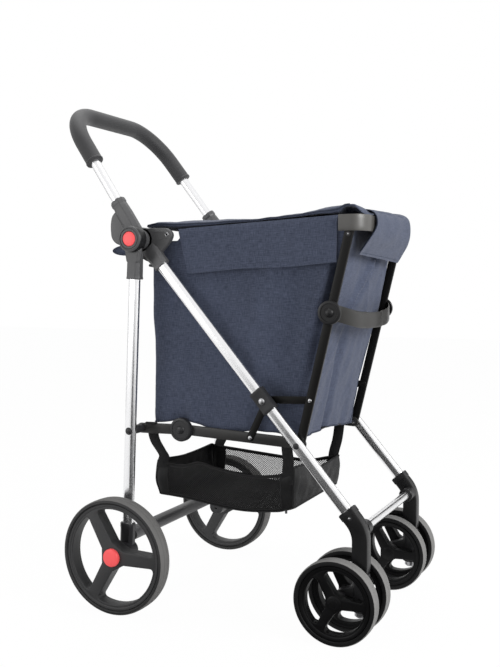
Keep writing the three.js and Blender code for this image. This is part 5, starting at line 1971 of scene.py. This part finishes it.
def flap_point(layer):
    """A grid for one of the two layers; the under layer is a little shorter and lies closer."""
    corner = 16 * MM

    def point(u, v):
        s = flap_length * v * (1 if layer == 0 else 0.93)
        half = flap_half_width(s) - layer * 3 * MM
        reach = flap_length - s
        if reach < corner * 0.5:
            half -= corner * 0.16 * (1 - reach / (corner * 0.5)) ** 2
        if s < corner:
            half -= corner * 0.5 * (1 - s / corner) ** 2
        x = (1 - 2 * u) * half
        centre, out = flap_line(s)
        lift = (0.2 - 1.5 * layer) * MM + 1.3 * MM * ripple(x, s, layer, 0.05)
        lift += 2.2 * MM * bell(abs(u - 0.5), 0.5, 0.08) * ramp(s, 0.05, 0.11)
        lift -= 1.2 * MM * layer
        skew = x / 0.12 * (3.5 - 8.5 * s / flap_length) * MM
        return Vector((x, centre.x + out.x * lift, centre.y + out.y * lift + skew))

    return point


flap_layers = [
    cloth_grid("flap outer", flap_point(0), 90, 70, navy, 1.4 * MM, offset=0),
    cloth_grid("flap inner", flap_point(1), 70, 60, navy_trim, 1.0 * MM, offset=0),
]
flap_top = flap_point(0)
flap_stitch = stitched(
    "flap hem", lambda t: flap_top(0.04 + 0.92 * t, 0.95) + Vector((0, -1.0 * MM, 0.2 * MM)), 0.23, navy_trim,
    out=Vector((0, -1, 0)),
)
flap = joined("visual_front_flap", [flap_layers[0], flap_stitch])
flap_under = flap_layers[1]
flap_under.name = "visual_front_flap_under"
print("flap", [round(v, 4) for v in flap.dimensions])

# %% [markdown]
# ## Basket
# The basket is thin nylon with bound edges, slack enough to sag. Each long side has a window of net in
# its upper half. Four webbing tabs hold its corners, the rear pair looped round the rear stays.

# %% Basket shell
basket_half = 131 * MM
basket_rear = 153 * MM
basket_front = -172 * MM


def basket_top(x, y):
    """The bound upper edge: high at the corners, slack between them."""
    side_dip = 12 * MM * bell(y, -0.075, 0.07) + 5 * MM * bell(y, 0.1, 0.04) - 7 * MM * bell(y, 0.045, 0.022)
    end_dip = 9 * MM * (1 - (x / basket_half) ** 2)
    on_side = ramp(abs(x), basket_half * 0.93, basket_half)
    if x > 0:
        far_side = 275 * MM + (y + 0.059) / 15 + 20 * MM * (1 - ramp(y, -0.172, -0.08))
        return 293 * MM * (1 - on_side) - 0.5 * end_dip * (1 - on_side) + far_side * on_side
    lift = 15 * MM * bell(y, -0.172, 0.02) * ramp(x, 0.05, -0.1)
    return 298 * MM - side_dip * on_side - 0.5 * end_dip * (1 - on_side) + lift - 5 * MM * ramp(x, -0.1, 0)


def basket_low(y):
    """The lower edge of the walls, which the floor hangs from."""
    return 227 * MM - 16 * MM * bell(y, -0.05, 0.11) + 6 * MM * ramp(y, -0.13, -0.172)


def basket_crumple(x, y, z):
    return 3.6 * MM * ripple(x + z * 0.6, y + z * 0.5, z, 0.065) + 1.6 * MM * ripple(x, y, z, 0.024)


def basket_point(u, v):
    point, out = walk_ring(u, basket_half, basket_front, basket_rear, 12 * MM)
    top, low_edge = basket_top(point.x, point.y), basket_low(point.y)
    z = top + (low_edge - top) * v
    belly = math.sin(math.pi * v) * (4 * MM + basket_crumple(point.x, point.y, z)) - 5 * MM * v
    return Vector((point.x + out.x * belly, point.y + out.y * belly, z))


def basket_floor_point(u, v):
    edge_in = 5 * MM
    x = (1 - 2 * u) * (basket_half - edge_in)
    y = (basket_rear - edge_in) + (basket_front - basket_rear + 2 * edge_in) * v
    middle = math.sin(math.pi * u) * math.sin(math.pi * v)
    sag = 0.4 * basket_crumple(x, y, 0.2) * middle - 13 * MM * middle**0.7
    return Vector((x, y, basket_low(y) + sag))


basket_shell = cloth_grid("basket shell", basket_point, 280, 36, nylon, 0.9 * MM, wrap=True, offset=0)
basket_shell.data.materials.append(net_cloth)
window_rear, window_front, sill_rise = 122 * MM, -140 * MM, 5 * MM
for face in basket_shell.data.polygons:
    middle = face.center
    top_edge = basket_top(middle.x, middle.y)
    on_side = abs(middle.x) > basket_half * 0.955
    sill = basket_low(middle.y) + sill_rise
    in_window = window_front < middle.y < window_rear and sill < middle.z < top_edge - 5 * MM
    face.material_index = 1 if on_side and in_window else 0
basket_floor = cloth_grid("basket floor", basket_floor_point, 60, 70, nylon, 1.6 * MM, offset=0)
print("basket shell", len(basket_shell.data.polygons), "faces")

# %% Bindings of the basket


def basket_line(y, sign):
    """The ring share for a place on one of the long sides."""
    target = Vector((sign * basket_half, y))
    return min(round_once(700), key=lambda s: (basket_point(s, 0.0).to_2d() - target).length)


def upright_binding(name, u, start, end, steps, radius):
    """A binding that climbs the basket's wall at one place round the ring."""
    return piped(name, [basket_point(u, v) for v in np.linspace(start, end, steps)], radius, webbing)


basket_edges = [
    piped("rim binding", [basket_point(u, 0.0) for u in round_once(240)], 2.6 * MM, webbing, True),
    piped("low seam", [basket_point(u, 1.0) for u in round_once(200)], 1.8 * MM, webbing, True),
]
for sign in (1, -1):
    window_ends = [basket_line(y, sign) for y in (window_rear, window_front)]
    basket_edges += [upright_binding("window edge", u, 0.02, 0.95, 16, 2.0 * MM) for u in window_ends]
    sill_line = []
    for u in np.linspace(*window_ends, 60):
        p = basket_point(u, 0.0)
        sill_line.append(basket_point(u, 1 - sill_rise / (basket_top(p.x, p.y) - basket_low(p.y))))
    basket_edges.append(piped("window sill", sill_line, 2.0 * MM, webbing))
    corner_us = [basket_line(y, sign) for y in (basket_rear - 2 * MM, basket_front + 2 * MM)]
    basket_edges += [upright_binding("corner binding", u, 0, 1, 20, 2.8 * MM) for u in corner_us]
    nub = basket_point(basket_line(basket_front + 22 * MM, sign), 1.0)
    basket_edges.append(piped("foot nub", [nub, nub + Vector((0, 0, -7 * MM))], 2.6 * MM, black_plastic))
basket = joined("visual_basket", [basket_shell, basket_floor, *basket_edges])
print("basket", [round(v, 4) for v in basket.dimensions])

# %% Tabs of the basket


def strap(name, path, width, thick, steps):
    """Flat webbing along a smooth path of (centre, width direction) pairs."""
    points = [Vector(p) for p, _ in path]
    sides = [Vector(w).normalized() for _, w in path]
    stations = []
    for i in range(steps + 1):
        t = i / steps * (len(points) - 1)
        k = min(int(t), len(points) - 2)
        centre, heading = smooth_step(points, k, t - k)
        wide = sides[k].lerp(sides[k + 1], t - k)
        wide = (wide - heading * wide.dot(heading)).normalized()
        stations.append((centre, wide, heading.cross(wide), 1, 1))
    return swept(name, rounded_section(width, thick, thick * 0.4, 2), stations, webbing, angle=50)


stay_slope = (fold_joint - stay_pivot).normalized()
rear_tab_point = stay_pivot + stay_slope * 24 * MM
along_stay = Vector((0, stay_slope.x, stay_slope.y))
stay_mid_x = 160 * MM


def rear_tab_path():
    """Round the rear stay, then slantwise down and in to the basket's corner."""
    top, low_side = 12.2 * MM, -12.2 * MM
    y, z = rear_tab_point
    return [
        ((stay_mid_x + 5.4 * MM, y, z + top * 0.75), along_stay),
        ((stay_mid_x + 3.4 * MM, y, z + top), along_stay),
        ((stay_mid_x - 2.0 * MM, y, z + top), along_stay),
        ((stay_mid_x - 4.6 * MM, y, z + top * 0.7), along_stay),
        ((stay_mid_x - 5.0 * MM, y - 1 * MM, z + low_side * 0.7), along_stay),
        ((152 * MM, y - 5 * MM, z - 28 * MM), along_stay),
        ((144 * MM, y - 13 * MM, z - 48 * MM), (-0.1, -1, -0.3)),
        ((136 * MM, y - 17 * MM, z - 64 * MM), (-0.1, -1, -0.12)),
        ((132.5 * MM, 136 * MM, 294 * MM), (0, -1, 0)),
        ((132.5 * MM, 136 * MM, 276 * MM), (0, -1, 0)),
    ]


rear_tab = strap("visual_rear_tab", rear_tab_path(), 25 * MM, 1.6 * MM, steps=70)
front_slope = (post_pivot - fold_joint).normalized()
along_front_stay = Vector((0, front_slope.x, front_slope.y))
front_tab_point = post_pivot - front_slope * 32 * MM


def front_tab_path():
    """From under the front stay, near the post, down to the front corner of the basket."""
    y, z = front_tab_point
    return [
        ((150.6 * MM, y, z - 2 * MM), along_front_stay),
        ((150.4 * MM, y + 1 * MM, z - bar_half - 6 * MM), along_front_stay),
        ((142 * MM, y + 2 * MM, z - 42 * MM), (0, -1, 0)),
        ((133 * MM, -156 * MM, 294 * MM), (0, -1, 0)),
        ((132.6 * MM, -156 * MM, 276 * MM), (0, -1, 0)),
    ]


front_tab = strap("visual_front_tab", front_tab_path(), 24 * MM, 1.6 * MM, steps=40)
print("tabs from", rear_tab_point[:], front_tab_point[:])

# %% [markdown]
# ## Riding along
# When the front legs fold back, the bag is pressed flat between legs and posts. The cloth can't follow
# a single joint, so the bag rides on the front legs. The lid and the flap ride on the lid, and the
# basket and the tabs stay where they were built.

# %% Riding
place(bag_piece, "front_frame", ["bag"], "navy_cloth")
for cuff_piece in (cuff, cuff_right):
    place(cuff_piece, "front_frame", [], "navy_cloth")
for soft in (bag_piece, cuff, cuff_right):
    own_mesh(soft)
place(lid, "lid", ["lid"], "navy_cloth")
place(flap, "lid", ["front_flap"], "navy_cloth")
place(flap_under, "lid", [], "navy_cloth")
for soft in (lid, flap, flap_under):
    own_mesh(soft)
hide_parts("basket")
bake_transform(basket)
rear_tab_right = mirrored(rear_tab, "visual_rear_tab_right")
rear_tab.name = "visual_rear_tab_left"
front_tab_right = mirrored(front_tab, "visual_front_tab_right")
front_tab.name = "visual_front_tab_left"
for tab, side in ((rear_tab, "left"), (rear_tab_right, "right")):
    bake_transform(tab)
for tab in (front_tab, front_tab_right):
    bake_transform(tab)
print("soft pieces placed")

# %% Names of the cloth pieces
print("cut sizes given for", cuff.name, cuff_right.name, flap.name, flap_under.name)
